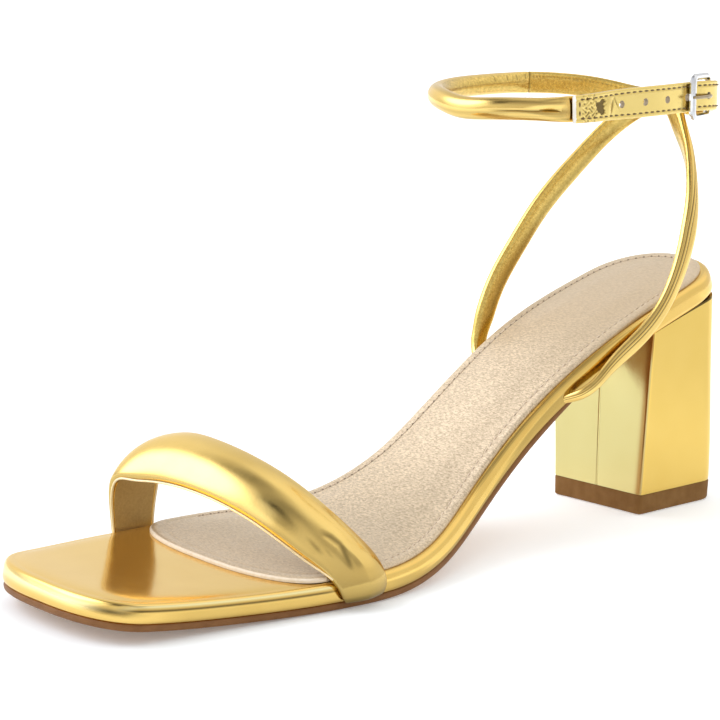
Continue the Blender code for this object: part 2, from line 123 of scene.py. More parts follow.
# Heel, as in the part
TOP_PIECE_HEIGHT = 6.0
HEEL_CORNER = 1.2
HEEL_BACK_ROUND = 9.5
HEEL_BACK_POWER = 2.6
HEEL = np.array((
    # share, half width, breast, back
    (-0.12, 18.3, 40.6, 3.0),
    (0.0, 18.6, 40.3, 2.8),
    (0.5, 19.9, 39.6, 4.4),
    (1.0, 21.2, 38.8, 6.2),
))

# Toe strap, as in the part but for its fuller outer end
TOE_STRAP = np.array((
    # x, y, z, width, thickness, tilt
    (185.4, -42.4, 2.6, 13.0, 2.6, 0.0),
    (185.4, -42.6, 10.5, 14.0, 3.0, 4.0),
    (185.2, -42.1, 18.6, 16.0, 4.2, 12.0),
    (184.6, -39.6, 25.8, 18.2, 5.6, 24.0),
    (182.8, -31.0, 30.1, 19.2, 5.6, 31.0),
    (181.2, -18.0, 30.7, 18.6, 5.4, 30.0),
    (179.4, -4.0, 28.8, 18.0, 5.4, 26.0),
    (176.8, 9.0, 24.8, 17.6, 5.4, 22.0),
    (173.7, 20.0, 19.1, 17.2, 5.2, 18.0),
    (170.4, 28.4, 13.5, 16.6, 4.6, 12.0),
    (168.2, 34.4, 8.8, 15.5, 4.2, 5.0),
    (167.5, 36.2, 5.6, 14.8, 3.5, 2.0),
    (167.2, 36.2, 2.1, 14.0, 2.5, 0.0),
))

# Ankle loop and slings, as in the part but for the slings' feet
LOOP = np.array((
    # x, y, z
    (80.5, 24.0, 125.7),
    (62.0, 25.6, 126.3),
    (44.0, 25.8, 126.8),
    (31.0, 24.8, 127.1),
    (19.4, 21.6, 127.1),
    (12.4, 16.0, 126.2),
    (7.4, 8.0, 124.6),
    (4.8, -3.0, 123.4),
    (7.0, -14.8, 124.0),
    (15.0, -23.6, 126.6),
    (28.0, -28.2, 128.6),
    (44.0, -29.6, 129.6),
    (62.0, -29.4, 129.6),
    (78.0, -26.6, 129.2),
    (90.0, -20.0, 128.5),
    (97.5, -10.0, 127.7),
    (100.4, 1.5, 127.0),
    (97.6, 11.6, 126.3),
    (90.6, 18.6, 125.9),
    (80.5, 24.0, 125.7),
    (74.0, 25.0, 125.9),
))
START_ROW = 4
ANKLE_STRAP = np.array((
    # along, tall, thickness, squareness
    (3.9, 6.6, 1.7, 5.0),
    (80.0, 6.6, 1.7, 5.0),
    (84.0, 6.6, 2.0, 4.0),
    (91.0, 6.4, 4.6, 2.2),
    (99.0, 6.4, 6.0, 2.0),
    (172.0, 6.4, 6.0, 2.0),
    (180.0, 6.5, 5.2, 2.1),
    (186.0, 7.0, 2.6, 3.0),
    (189.0, 7.4, 1.7, 5.0),
    (195.5, 7.4, 1.7, 5.0),
))
SLING_WIDTH = 6.4
SLING_THICK = 3.4
SLING_TURN = (25.0, -3.0)
SLINGS = (
    # x, y, z
    (73.7, 24.1, 43.2),
    (65.5, 25.0, 50.0),
    (52.4, 26.0, 58.2),
    (41.8, 26.0, 65.8),
    (33.6, 24.4, 74.4),
    (26.6, 21.8, 83.6),
    (20.6, 18.2, 92.4),
    (15.6, 13.6, 100.8),
    (11.6, 8.0, 109.4),
    (8.6, 1.6, 117.4),
    (6.6, -5.0, 123.6),
    (8.2, -13.0, 121.8),
    (13.4, -20.6, 115.4),
    (22.2, -25.0, 106.2),
    (31.6, -26.6, 98.0),
    (40.4, -27.4, 89.6),
    (49.0, -27.8, 79.6),
    (57.2, -27.9, 69.2),
    (63.6, -27.2, 57.6),
    (67.0, -26.0, 49.4),
)

# Buckle strap and buckle, as in the part but for the frame's bevelled bars and longer reach
STRAP_TALL = 8.8
STRAP_THICK = 1.7
SEWN_TALL = 7.8
SEWN_TAPER = 24.0
STRAP_TAIL = 30.0
STRAP_TIP = 4.0
HOLE_PITCH = 9.7
HOLE_COUNT = 5
HOLE_RADIUS = 1.1
FACE_ROWS = 40
STRAP_STITCH_INSET = 1.25
PRONG_HOLE_ALONG = -3.7
STRAP_LIFT = np.array((
    # along, outward
    (-66.0, 2.1),
    (-54.0, 2.1),
    (-46.0, 0.3),
    (-40.0, 0.0),
    (-20.0, 0.0),
    (-12.4, 0.0),
    (-8.0, 0.6),
    (-3.6, 1.6),
    (0.0, 2.2),
    (2.6, 2.4),
    (7.0, 2.15),
    (12.0, 2.1),
    (31.0, 2.1),
))
HINGE_ALONG = 2.6
HINGE_PAST = 2.0
FRONT_BAR_ALONG = -12.4
FRAME_TALL = 11.8
FRAME_WIRE = 0.85
FRAME_CORNER = 2.0
FRAME_BAR_WIDE = 1.9
FRAME_BAR_DEEP = 1.8
FRONT_BAR_WIDER = 0.5
FRAME_BEVEL = 0.32
HINGE_OUT = 0.2
FRONT_BAR_OUT = 2.05
PRONG_WIRE = 0.55
PRONG_RISE = (
    # along, outward
    (-1.0, -0.1),
    (-2.5, 0.2),
    (-3.45, 0.95),
    (-3.75, 1.9),
    (-4.2, 2.9),
    (-5.2, 3.7),
    (-6.8, 4.1),
    (-9.4, 4.1),
)
PRONG_TIP = 1.4

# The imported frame's place: the wearing piece's breast and middle line
tip_low, tip_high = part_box("heel_top_piece")
SHIFT = np.array((tip_high.x / MM - HEEL[0, 2], (tip_low.y + tip_high.y) / 2 / MM, 0.0))


def spline(stations, values):
    """Natural cubic through the rows of a table, as a function of the station."""
    x = np.asarray(stations, float)
    y = np.asarray(values, float)
    step = np.diff(x)
    count = len(x)
    system = np.eye(count)
    right = np.zeros(count)
    for i in range(1, count - 1):
        system[i, i - 1:i + 2] = step[i - 1], 2 * (step[i - 1] + step[i]), step[i]
        right[i] = 6 * ((y[i + 1] - y[i]) / step[i] - (y[i] - y[i - 1]) / step[i - 1])
    bend = np.linalg.solve(system, right)

    def value(station):
        i = np.clip(np.searchsorted(x, station) - 1, 0, count - 2)
        after, before = station - x[i], x[i + 1] - station
        curve = (bend[i] * before ** 3 + bend[i + 1] * after ** 3) / (6 * step[i])
        start = (y[i] / step[i] - bend[i] * step[i] / 6) * before
        return curve + start + (y[i + 1] / step[i] - bend[i + 1] * step[i] / 6) * after

    return value


def unit(vectors):
    """Vectors scaled to length one, row by row."""
    return vectors / np.linalg.norm(vectors, axis=-1, keepdims=True)


def lengths_along(points):
    """Length from the first point to each point of a line."""
    return np.concatenate(([0.0], np.cumsum(np.linalg.norm(np.diff(points, axis=0), axis=1))))


def read_line(points, lengths, at):
    """Points at some lengths along a line of points."""
    return np.stack([np.interp(at, lengths, column) for column in points.T], axis=-1)


def through(points, count):
    """Evenly spaced points on a smooth curve through the given points."""
    points = np.asarray(points, float)
    chord = lengths_along(points[:, :3])
    at = np.linspace(0.0, chord[-1], count)
    return np.stack([spline(chord, column)(at) for column in points.T], axis=1)


def bump_at(value, centre, width):
    """Soft hill of height one round a centre."""
    return np.exp(-((value - centre) / width) ** 2)


def bands(value, rows):
    """Sum of soft hills from rows of (centre, half width, height)."""
    return sum(height * bump_at(value, centre, width) for centre, width, height in rows)


def smooth_step(value, low, high):
    """Smooth change from 0 to 1 between two values."""
    share = np.clip((value - low) / (high - low), 0, 1)
    return share * share * (3 - 2 * share)


def between(value, rise, fall):
    """One between two smooth changes, nought before and after them."""
    return smooth_step(value, *rise) * (1 - smooth_step(value, *fall))


# Shape of the sole
SLOPE_STEP = 0.05
UNDER_FROM = -10.0
UNDER_ROWS = 800
OUTLINE_END = 0.03
CIRCLE = 2.0
sole_height = spline(SOLE[:, 0], SOLE[:, 1])
sole_lateral = spline(SOLE[:, 0], SOLE[:, 2])
sole_medial = spline(SOLE[:, 0], SOLE[:, 3])
sole_thick = spline(SOLE[:, 0], SOLE[:, 4])


def share_across(x, y):
    """Place between the sole's outer edge, 0, and its inner edge, 1."""
    return (sole_lateral(x) - y) / (sole_lateral(x) - sole_medial(x))


def inner_rise(x, y):
    """Rise of the footbed's top towards the inner side of the forefoot."""
    return np.interp(x, *INNER_RISE) * np.clip(share_across(x, y), 0, 1)


def sole_slope(x):
    """Rise of the footbed's top for each millimetre along."""
    return (sole_height(x + SLOPE_STEP) - sole_height(x - SLOPE_STEP)) / (2 * SLOPE_STEP)


def on_sole(x, y, lift, top=1.0):
    """Point square to the footbed's top at a lift from it; top is 0 on the underside."""
    rise = sole_slope(x)
    tall = (lift + top * inner_rise(x, y)) / np.sqrt(1 + rise ** 2)
    return np.stack([x - rise * tall, y, np.maximum(sole_height(x) + tall, 0.0)], axis=-1)


def under_footbed(x):
    """Height over the floor just below the footbed."""
    at = np.linspace(UNDER_FROM, SHOE_FRONT, UNDER_ROWS)
    line = on_sole(at, np.zeros(len(at)), -GAP - sole_thick(at), 0.0)
    return np.interp(x, line[:, 0], line[:, 2])


def end_rounding(distance, length, power):
    """Share of the full width at a distance from a rounded end."""
    share = np.clip(1 - distance / length, 0, 1)
    return (1 - share ** power) ** (1 / power)


def outline(inset, start, end, end_round, end_power, rows):
    """Edge of a sole layer: the lateral side heel to toe, then the medial side back."""
    share = (1 - np.cos(np.linspace(OUTLINE_END, math.pi - OUTLINE_END, rows))) / 2
    x = start + inset + (end - start - 2 * inset) * share
    wide = (sole_lateral(x) - sole_medial(x)) / 2 - inset
    middle = (sole_lateral(x) + sole_medial(x)) / 2
    if start == SHOE_BACK:
        wide = wide * end_rounding(x - start - inset, HEEL_ROUND, HEEL_POWER)
    wide = wide * end_rounding(end - inset - x, end_round, end_power)
    lateral = np.stack([x, middle + wide], axis=1)
    medial = np.stack([x, middle - wide], axis=1)
    return np.concatenate([lateral, medial[::-1]])


def soft_circle(count, power):
    """Columns round a closed section: the cosine and the sine, each to a power."""
    turn = 2 * math.pi * (np.arange(count) + 0.5) / count
    return tuple(np.sign(wave) * np.abs(wave) ** power for wave in (np.cos(turn), np.sin(turn)))


def oval_section(tall, thick, squareness, count):
    """Ring of a strap section, as columns of up and out, round at squareness 2."""
    up, out = soft_circle(count, 2 / squareness)
    return up * tall / 2, out * thick / 2


# Ankle loop's line
LOOP_COUNT = 400
LOOP_REACH = 1.5
loop_line = through(LOOP, LOOP_COUNT)
loop_lengths = lengths_along(loop_line)
start_at = np.argmin(np.linalg.norm(loop_line - LOOP[START_ROW], axis=1))
loop_lengths = loop_lengths - loop_lengths[start_at]
SEWN_END = loop_lengths[0]


def loop_point(along):
    """Point on the ankle loop's line at a length from the start row."""
    return read_line(loop_line, loop_lengths, along)


def loop_frame(along):
    """Points on the loop with the directions out of it and up."""
    forward = unit(loop_point(along + LOOP_REACH) - loop_point(along - LOOP_REACH))
    outward = unit(np.cross(forward, UP))
    return loop_point(along), outward, np.cross(outward, forward)


def beside_loop(along, out, up=0.0):
    """Point at a length along the loop, moved out and up from its line."""
    point, outward, upward = loop_frame(np.asarray(along, float))
    return point + outward * out + upward * up


# Meshes
SHARP = 40.0
TINY = 1e-9
FLOOR_FACING = (0.06, 0.13)
# Direction that no wire runs along
OFF_AXIS = (0.31, 0.17, 0.93)


def finish_piece(name, mesh, materials, node=None, sharp=SHARP):
    """Object of a mesh that rides on the shoe, with its materials."""
    clean = bmesh.new()
    clean.from_mesh(mesh)
    bmesh.ops.recalc_face_normals(clean, faces=clean.faces)
    clean.to_mesh(mesh)
    clean.free()
    mesh.shade_smooth()
    mesh.set_sharp_from_angle(angle=math.radians(sharp))
    piece = bpy.data.objects.new(name, mesh)
    bpy.context.scene.collection.objects.link(piece)
    for material in materials:
        mesh.materials.append(material)
    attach(piece, "root")
    if node:
        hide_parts(node)
    return piece


def ladder(ring):
    """Faces that fill a ring whose two halves run side by side."""
    last = len(ring) - 1
    return [(ring[k], ring[k + 1], ring[last - 1 - k], ring[last - k]) for k in range(last // 2)]


def skin(name, rings, caps, pick=None, marks=None):
    """Mesh through rings of points in millimetres. pick gives each side face a material.

    Each end is closed by a ladder of faces or by one face, or a loop joins the last ring to the first.
    """
    rings = np.asarray(rings, float)
    levels, around = rings.shape[:2]
    index = np.arange(levels * around).reshape(levels, around)
    rows = np.concatenate([index, index[:1]]) if caps == "loop" else index
    after = np.roll(rows, -1, axis=1)
    sides = np.stack([rows[:-1], after[:-1], after[1:], rows[1:]], axis=-1).reshape(-1, 4)
    faces = [tuple(face) for face in sides.tolist()]
    for ring in (index[0].tolist(), index[-1].tolist()):
        if caps == "ladder":
            faces += ladder(ring)
        elif caps == "face":
            faces.append(tuple(ring))
    mesh = bpy.data.meshes.new(name)
    mesh.from_pydata(((rings.reshape(-1, 3) + SHIFT) * MM).tolist(), [], faces)
    if pick is not None:
        chosen = np.zeros(len(faces), int)
        chosen[:len(sides)] = np.broadcast_to(pick, (levels - 1, around)).reshape(-1)
        mesh.polygons.foreach_set("material_index", chosen)
    for mark, values in (marks or {}).items():
        layer = mesh.attributes.new(mark, "FLOAT", "POINT")
        layer.data.foreach_set("value", np.broadcast_to(values, (levels, around)).reshape(-1))
    return mesh


def loft(name, rings, materials, slot, node=None, sharp=SHARP, caps="face", **look):
    """Piece with a skin through rings, its picks and marks passed on."""
    return finish_piece(name, skin(name, rings, caps, **look), materials, node, sharp)


def facing_floor(rings, limits=FLOOR_FACING):
    """One where a skin looks down on the floor, nought where it looks up."""
    rings = np.asarray(rings, float)
    around = np.roll(rings, -1, axis=1) - np.roll(rings, 1, axis=1)
    normal = np.cross(around, np.gradient(rings, axis=0))
    if np.sum(normal * (rings - rings.mean(axis=1, keepdims=True))) < 0:
        normal = -normal
    up = normal[..., 2] / np.maximum(np.linalg.norm(normal, axis=-1), TINY)
    return 1 - smooth_step(up, *limits)


def tube_rings(points, radius, count):
    """Rings of a round wire through the points; radius is one value or one a point."""
    points = np.asarray(points, float)
    forward = unit(np.gradient(points, axis=0))
    side = np.cross(forward[0], OFF_AXIS)
    rings = []
    turn = 2 * math.pi * np.arange(count) / count
    for point, ahead, wide in zip(points, forward, np.broadcast_to(radius, len(points))):
        side = unit(side - ahead * np.dot(side, ahead))
        other = np.cross(ahead, side)
        rings.append(point + wide * (np.outer(np.cos(turn), side) + np.outer(np.sin(turn), other)))
    return rings


# Materials
# Most of a noise lies in this range
NOISE_RANGE = (0.3, 0.7)


def new_material(name, colour, metallic, roughness):
    """Principled material and its shader."""
    material = bpy.data.materials.new(name)
    material.use_nodes = True
    shader = material.node_tree.nodes["Principled BSDF"]
    shader.inputs["Base Color"].default_value = (*colour, 1.0)
    shader.inputs["Metallic"].default_value = metallic
    shader.inputs["Roughness"].default_value = roughness
    return material, shader


def add_node(material, kind, **values):
    """Node of a kind with values on its inputs, given by name."""
    node = material.node_tree.nodes.new(kind)
    for name, value in values.items():
        node.inputs[name.replace("_", " ")].default_value = value
    return node


def link(material, source, target):
    """Join two sockets."""
    material.node_tree.links.new(source, target)


def surface_point(material):
    """Socket with the place on the shoe, in metres."""
    return add_node(material, "ShaderNodeTexCoord").outputs["Object"]


def noise(material, scale, detail=2.0, roughness=0.5):
    """Socket of a noise value over the shoe."""
    node = add_node(material, "ShaderNodeTexNoise", Scale=scale, Detail=detail, Roughness=roughness)
    link(material, surface_point(material), node.inputs["Vector"])
    return node.outputs["Fac"]


def remap(material, source, low, high, limits=NOISE_RANGE):
    """Socket of a value moved from its limits to a new range."""
    start, end = limits
    node = add_node(material, "ShaderNodeMapRange", From_Min=start, From_Max=end, To_Min=low, To_Max=high)
    link(material, source, node.inputs["Value"])
    return node.outputs["Result"]


def add_bumps(material, shader, heights):
    """Bumps from (height socket, distance in millimetres), one on the other."""
    normal = None
    for height, distance in heights:
        node = add_node(material, "ShaderNodeBump", Strength=1.0, Distance=distance * MM)
        link(material, height, node.inputs["Height"])
        if normal:
            link(material, normal, node.inputs["Normal"])
        normal = node.outputs["Normal"]
    link(material, normal, shader.inputs["Normal"])


def colour_mix(material):
    """Mix of two colours: its share, first, second and result sockets."""
    node = material.node_tree.nodes.new("ShaderNodeMix")
    node.data_type = "RGBA"
    first, second = [socket for socket in node.inputs if socket.type == "RGBA"]
    result = [socket for socket in node.outputs if socket.type == "RGBA"][0]
    return node.inputs["Factor"], first, second, result


def blend_colours(material, share, first, second):
    """Socket of a colour between two, by a share."""
    by, start, end, result = colour_mix(material)
    start.default_value = (*first, 1.0)
    end.default_value = (*second, 1.0)
    link(material, share, by)
    return result


# Dark brown mixed in by the shade mark, mostly painted shade and painted reflection, also some real dark
# lines; pale tint mixed in as a painted highlight
SHADE = (0.13, 0.085, 0.022)
PAINTED_HIGHLIGHT_TINT = (1.0, 0.92, 0.5)


def marked(material, name):
    """Socket of a value that the mesh carries at its points."""
    mark = material.node_tree.nodes.new("ShaderNodeAttribute")
    mark.attribute_name = name
    return mark.outputs["Fac"]


def shaded(material, colour, dark=SHADE):
    """Socket of a colour that turns dark with the mesh's shade mark, painted shade and some real dark lines,
    and pale with its painted highlight mark.
    """
    for mark, tone in (("shade", dark), ("painted_highlight", PAINTED_HIGHLIGHT_TINT)):
        by, start, end, result = colour_mix(material)
        link(material, marked(material, mark), by)
        link(material, colour, start)
        end.default_value = (*tone, 1.0)
        colour = result
    return colour


# Foil: sizes of its patches, gloss, waves and grain as noise scales, and its lacquer
FOIL_PATCHES = 130.0
FOIL_GLOSS = 260.0
FOIL_WAVES = 90.0
FOIL_GRAIN = 1500.0
FOIL_TINT = (1.0, 0.95, 0.82, 1.0)
LACQUER = 0.15
LACQUER_ROUGH = 0.08
GOLD = (0.84, 0.60, 0.20)
GOLD_DEEP = (0.78, 0.53, 0.15)
# Painted shade and painted light: the heel's sides take a darker shaded copy of the foil's gold, its breast a
# paler lit copy
HEEL_SHADED_GOLD = (0.76, 0.53, 0.14)
HEEL_SHADED_GOLD_DEEP = (0.71, 0.48, 0.11)
BREAST_LIT_GOLD = (0.66, 0.57, 0.25)
BREAST_LIT_GOLD_DEEP = (0.62, 0.52, 0.21)
# Dark brown of the painted reflection on the breast
BREAST_PAINTED_REFLECTION = (0.33, 0.13, 0.015)
FLAT_TINTS = ((0.77, 0.50, 0.125), (0.83, 0.565, 0.165))
THIN_TINTS = ((0.74, 0.55, 0.17), (0.82, 0.63, 0.22))
WRINKLES = 1300.0
WRINKLE_GRAIN = 2500.0
WORN_TINTS = ((0.56, 0.375, 0.09), (0.83, 0.60, 0.18))
LINING_GRAIN = 1600.0
LINING_WAVES = 300.0
LINING_TINTS = ((0.40, 0.26, 0.09), (0.60, 0.42, 0.17))
# Sock: wavy strokes, wider across and turned, over gloss and waves
STROKES = 2300.0
STROKE_SPREAD = (1.0, 0.42, 1.0)
STROKE_TURN = (0.0, 0.0, 0.5)
STROKE_RANGE = (0.34, 0.66)
SOCK_GLOSS = 900.0
SOCK_ROUGH = (0.34, 0.5)
SOCK_WAVES = 200.0
SOCK_TINTS = ((0.48, 0.37, 0.243), (0.79, 0.64, 0.444))


def foil(name, low_rough, high_rough, wave=0.05, grain=0.006, tints=(GOLD_DEEP, GOLD), dark=SHADE):
    """Gold foil under a clear lacquer: mirror-like, slightly uneven, with a faint grain, its colour taking
    painted shade and painted highlights from the mesh's marks.
    """
    material, shader = new_material(name, tints[1], 1.0, low_rough)
    shader.inputs["Specular Tint"].default_value = FOIL_TINT
    shader.inputs["Coat Weight"].default_value = LACQUER
    shader.inputs["Coat Roughness"].default_value = LACQUER_ROUGH
    patches = noise(material, FOIL_PATCHES, 3.0)
    tone = shaded(material, blend_colours(material, patches, *tints), dark)
    link(material, tone, shader.inputs["Base Color"])
    rough = remap(material, noise(material, FOIL_GLOSS, 3.0), low_rough, high_rough)
    link(material, rough, shader.inputs["Roughness"])
    waves, grains = noise(material, FOIL_WAVES, 1.0), noise(material, FOIL_GRAIN)
    add_bumps(material, shader, ((waves, wave), (grains, grain)))
    return material


foil_flat = foil("foil_flat", 0.13, 0.18, wave=0.03, tints=FLAT_TINTS)
foil_strap = foil("foil_strap", 0.16, 0.22, wave=0.06, grain=0.01)
foil_thin = foil("foil_thin", 0.18, 0.26, grain=0.012, tints=THIN_TINTS)
foil_heel_shaded = foil("foil_heel_shaded", 0.17, 0.22, tints=(HEEL_SHADED_GOLD_DEEP, HEEL_SHADED_GOLD))
foil_breast_lit = foil("foil_breast_lit", 0.13, 0.18, tints=(BREAST_LIT_GOLD_DEEP, BREAST_LIT_GOLD), dark=BREAST_PAINTED_REFLECTION)


def wrinkled(name):
    """Foil on a strap that is bent often, with short fine wrinkles."""
    material, shader = new_material(name, GOLD, 1.0, 0.26)
    lines = noise(material, WRINKLES, 3.0, 0.6)
    tone = blend_colours(material, remap(material, lines, 0.0, 1.0), *WORN_TINTS)
    link(material, shaded(material, tone), shader.inputs["Base Color"])
    add_bumps(material, shader, ((lines, 0.05), (noise(material, WRINKLE_GRAIN), 0.015)))
    return material


foil_worn = wrinkled("foil_worn")


def lining_material():
    """Brown-gold coated lining, matte, with a fine grain."""
    material, shader = new_material("lining", (0.52, 0.35, 0.13), 0.55, 0.45)
    grain = noise(material, LINING_GRAIN, 3.0)
    link(material, blend_colours(material, grain, *LINING_TINTS), shader.inputs["Base Color"])
    add_bumps(material, shader, ((grain, 0.03), (noise(material, LINING_WAVES), 0.05)))
    return material


lining = lining_material()


def sock_leather():
    """Champagne leather with a pearl coat and a grain of short wavy strokes."""
    material, shader = new_material("sock_leather", (0.72, 0.58, 0.43), 0.45, 0.45)
    spread = add_node(material, "ShaderNodeMapping")
    spread.inputs["Scale"].default_value = STROKE_SPREAD
    spread.inputs["Rotation"].default_value = STROKE_TURN
    link(material, surface_point(material), spread.inputs["Vector"])
    strokes = add_node(material, "ShaderNodeTexNoise", Scale=STROKES, Detail=1.5, Distortion=0.7)
    link(material, spread.outputs["Vector"], strokes.inputs["Vector"])
    level = add_node(material, "ShaderNodeMix", A=0.5)
    link(material, marked(material, "grain"), level.inputs["Factor"])
    link(material, remap(material, strokes.outputs["Fac"], 0.0, 1.0, STROKE_RANGE), level.inputs["B"])
    tone = blend_colours(material, level.outputs["Result"], *SOCK_TINTS)
    link(material, shaded(material, tone), shader.inputs["Base Color"])
    link(material, remap(material, noise(material, SOCK_GLOSS), *SOCK_ROUGH), shader.inputs["Roughness"])
    add_bumps(material, shader, ((level.outputs["Result"], 0.035), (noise(material, SOCK_WAVES), 0.06)))
    return material


leather = sock_leather()


# Grain in a plain material's bump, finer than its spots
FINER = 4


def plain(name, first, second, scale, roughness, metallic=0.0, bump=0.03, gloss=0.5):
    """Material of two near colours with a fine grain."""
    material, shader = new_material(name, first, metallic, roughness)
    shader.inputs["Specular IOR Level"].default_value = gloss
    spots = noise(material, scale, 3.0)
    tone = blend_colours(material, remap(material, spots, 0.0, 1.0), first, second)
    link(material, tone, shader.inputs["Base Color"])
    add_bumps(material, shader, ((noise(material, scale * FINER), bump),))
    return material


cut_edge = plain("cut_edge", (0.80, 0.66, 0.48), (0.88, 0.76, 0.6), 900.0, 0.6)
outsole_brown = plain("outsole_brown", (0.18, 0.075, 0.022), (0.24, 0.108, 0.036), 200.0, 0.5, gloss=0.2)
outsole_tan = plain("outsole_tan", (0.36, 0.17, 0.045), (0.44, 0.22, 0.065), 200.0, 0.6)
tip_brown = plain("tip_brown", (0.19, 0.092, 0.027), (0.24, 0.125, 0.042), 250.0, 0.7, gloss=0.1)
# Strap thread, darkened as painted shade of its needle holes and the gaps between stitches
thread_with_hole_shade = plain("thread_with_hole_shade", (0.12, 0.075, 0.03), (0.22, 0.14, 0.06), 2000.0, 0.7)
thread_cream = plain("thread_cream", (0.62, 0.50, 0.37), (0.76, 0.63, 0.48), 2000.0, 0.6)
# Dark marks for the needle holes: painted shade
needle_hole_shade = plain("needle_hole_shade", (0.27, 0.21, 0.155), (0.36, 0.28, 0.21), 2000.0, 0.8)
strap_core = plain("strap_core", (0.34, 0.27, 0.18), (0.5, 0.41, 0.29), 1500.0, 0.8)
white_edge = plain("white_edge", (0.82, 0.79, 0.74), (0.9, 0.88, 0.84), 900.0, 0.6)
piping = plain("piping", (0.88, 0.72, 0.42), (0.94, 0.80, 0.52), 900.0, 0.35, 0.5, 0.01)
silver = plain("silver", (0.62, 0.62, 0.63), (0.72, 0.72, 0.73), 600.0, 0.12, 1.0, 0.003)
# Darker copy of the buckle's metal for the prong: painted shade
prong_shaded_metal = plain("prong_shaded_metal", (0.34, 0.27, 0.17), (0.44, 0.36, 0.24), 600.0, 0.22, 1.0, 0.003)


# Sole
SOLE_ROWS = 200
FOOTBED_EDGE_ROWS = 44
# Painted shade where the outer rim faces the floor, lighter from the ball on
RIM_SHADE = 0.48
RIM_SHADE_FROM = (50.0, 75.0)
RIM_SHADE_UNTIL = (215.0, 232.0)
TOE_RIM_SHADE = 0.25
TOE_RIM_FROM = (150.0, 168.0)
# Painted reflection lines and painted highlights on the rim: lift from the top, half width
RIM_REFLECTION_LINE = (-2.1, 0.34)
CORNER_REFLECTION_LINE = (-2.8, 0.7)
RIM_PAINTED_HIGHLIGHT = (-1.0, 0.35)
FRONT_PAINTED_HIGHLIGHT = (-2.4, 1.0)
PAINTED_HIGHLIGHT_STRENGTH = 0.8
BALL_FROM = (166.0, 180.0)
TOE_FROM = (230.0, 238.0)
# Outer corner of the toe: along, across, radius
TOE_CORNER = (238.0, 21.0, 7.0)
# The outsole thins to a share of itself towards the heel and draws in
SKIVED = (50.0, 92.0)
SKIVED_SHARE = 0.25
SKIVED_INSET = 0.1


def sole_rings(profile, front_thick=None, **ends):
    """Rings of a sole layer from rows of (inset, lift); lifts grow with the footbed's thickness."""
    rings = []
    for inset, lift in profile:
        edge = outline(inset, rows=SOLE_ROWS, **ends)
        x = edge[:, 0]
        tall = lift * sole_thick(x) / front_thick if front_thick else lift
        top = np.clip(1 + lift / front_thick, 0, 1) if front_thick else 1.0
        rings.append(on_sole(x, edge[:, 1], tall, top))
    return rings


FOOTBED_ENDS = {"start": SHOE_BACK, "end": SHOE_FRONT, "end_round": TOE_ROUND, "end_power": TOE_POWER}


def make_footbed():
    """Foil-wrapped board with a rolled edge, and painted shade, painted reflection lines and painted
    highlights on its rim.
    """
    side = through(np.column_stack([FOOTBED_SIDE, np.zeros(len(FOOTBED_SIDE))]), FOOTBED_EDGE_ROWS)[:, :2]
    profile = [*side, *((inset, 0.0) for inset in FOOTBED_DECK)]
    rings = np.array(sole_rings(profile, FRONT_THICK, **FOOTBED_ENDS))
    for ring, (inset, lift) in zip(rings, profile):
        if lift > FOOTBED_SIDE[ROLL_ROW][1]:
            ring[:, 2] -= np.interp(inset, *TOE_ROLL) * smooth_step(ring[:, 0], *TOE_ROLL_FROM)
    x, y = rings[..., 0], rings[..., 1]
    under = facing_floor(rings) * (y > 0) * between(x, RIM_SHADE_FROM, RIM_SHADE_UNTIL)
    shade = under * (RIM_SHADE + (TOE_RIM_SHADE - RIM_SHADE) * smooth_step(x, *TOE_RIM_FROM))
    lifts = np.array([lift for _, lift in profile])[:, None]
    front = smooth_step(x, *TOE_FROM)
    ball = (y > 0) * smooth_step(x, *BALL_FROM)
    corner = bump_at(np.hypot(x - TOE_CORNER[0], y - TOE_CORNER[1]), 0.0, TOE_CORNER[2])
    line = np.maximum(bump_at(lifts, *RIM_REFLECTION_LINE) * ball * (1 - front), bump_at(lifts, *CORNER_REFLECTION_LINE) * corner)
    centre, wide = (low + (high - low) * front for low, high in zip(RIM_PAINTED_HIGHLIGHT, FRONT_PAINTED_HIGHLIGHT))
    painted_highlight = PAINTED_HIGHLIGHT_STRENGTH * bump_at(lifts, centre, wide) * np.maximum(ball, front) * (1 - corner)
    marks = {"shade": np.maximum(shade, line), "painted_highlight": painted_highlight}
    return loft("footbed_foil", rings, [foil_flat], "gold_foil", "footbed", caps="ladder", marks=marks)


def make_outsole():
    """Thin sole with a bevelled lower edge, skived thin towards the heel, tan underneath."""
    rings = []
    for inset, lift in OUTSOLE_SIDE:
        edge = outline(inset, OUTSOLE_BACK, SHOE_FRONT, TOE_ROUND, TOE_POWER, SOLE_ROWS)
        x = edge[:, 0]
        skive = smooth_step(x, *SKIVED)
        drop = -GAP + (lift + GAP) * (SKIVED_SHARE + (1 - SKIVED_SHARE) * skive)
        side = edge[:, 1] * (1 - SKIVED_INSET * (1 - skive))
        rings.append(on_sole(x, side, drop - sole_thick(x), 0.0))
    under = np.ones((len(OUTSOLE_SIDE) - 1, 2 * SOLE_ROWS), int)
    under[0] = 0
    return loft("outsole_rubber", rings, [outsole_tan, outsole_brown], "outsole_rubber", "outsole",
                caps="ladder", pick=under)


STITCH_INSET = 3.2
STITCH_PITCH = 2.5
STITCH_FRONT = 168.0
HOLES_BACK = 14.0
STITCH_LINE_ROWS = 900
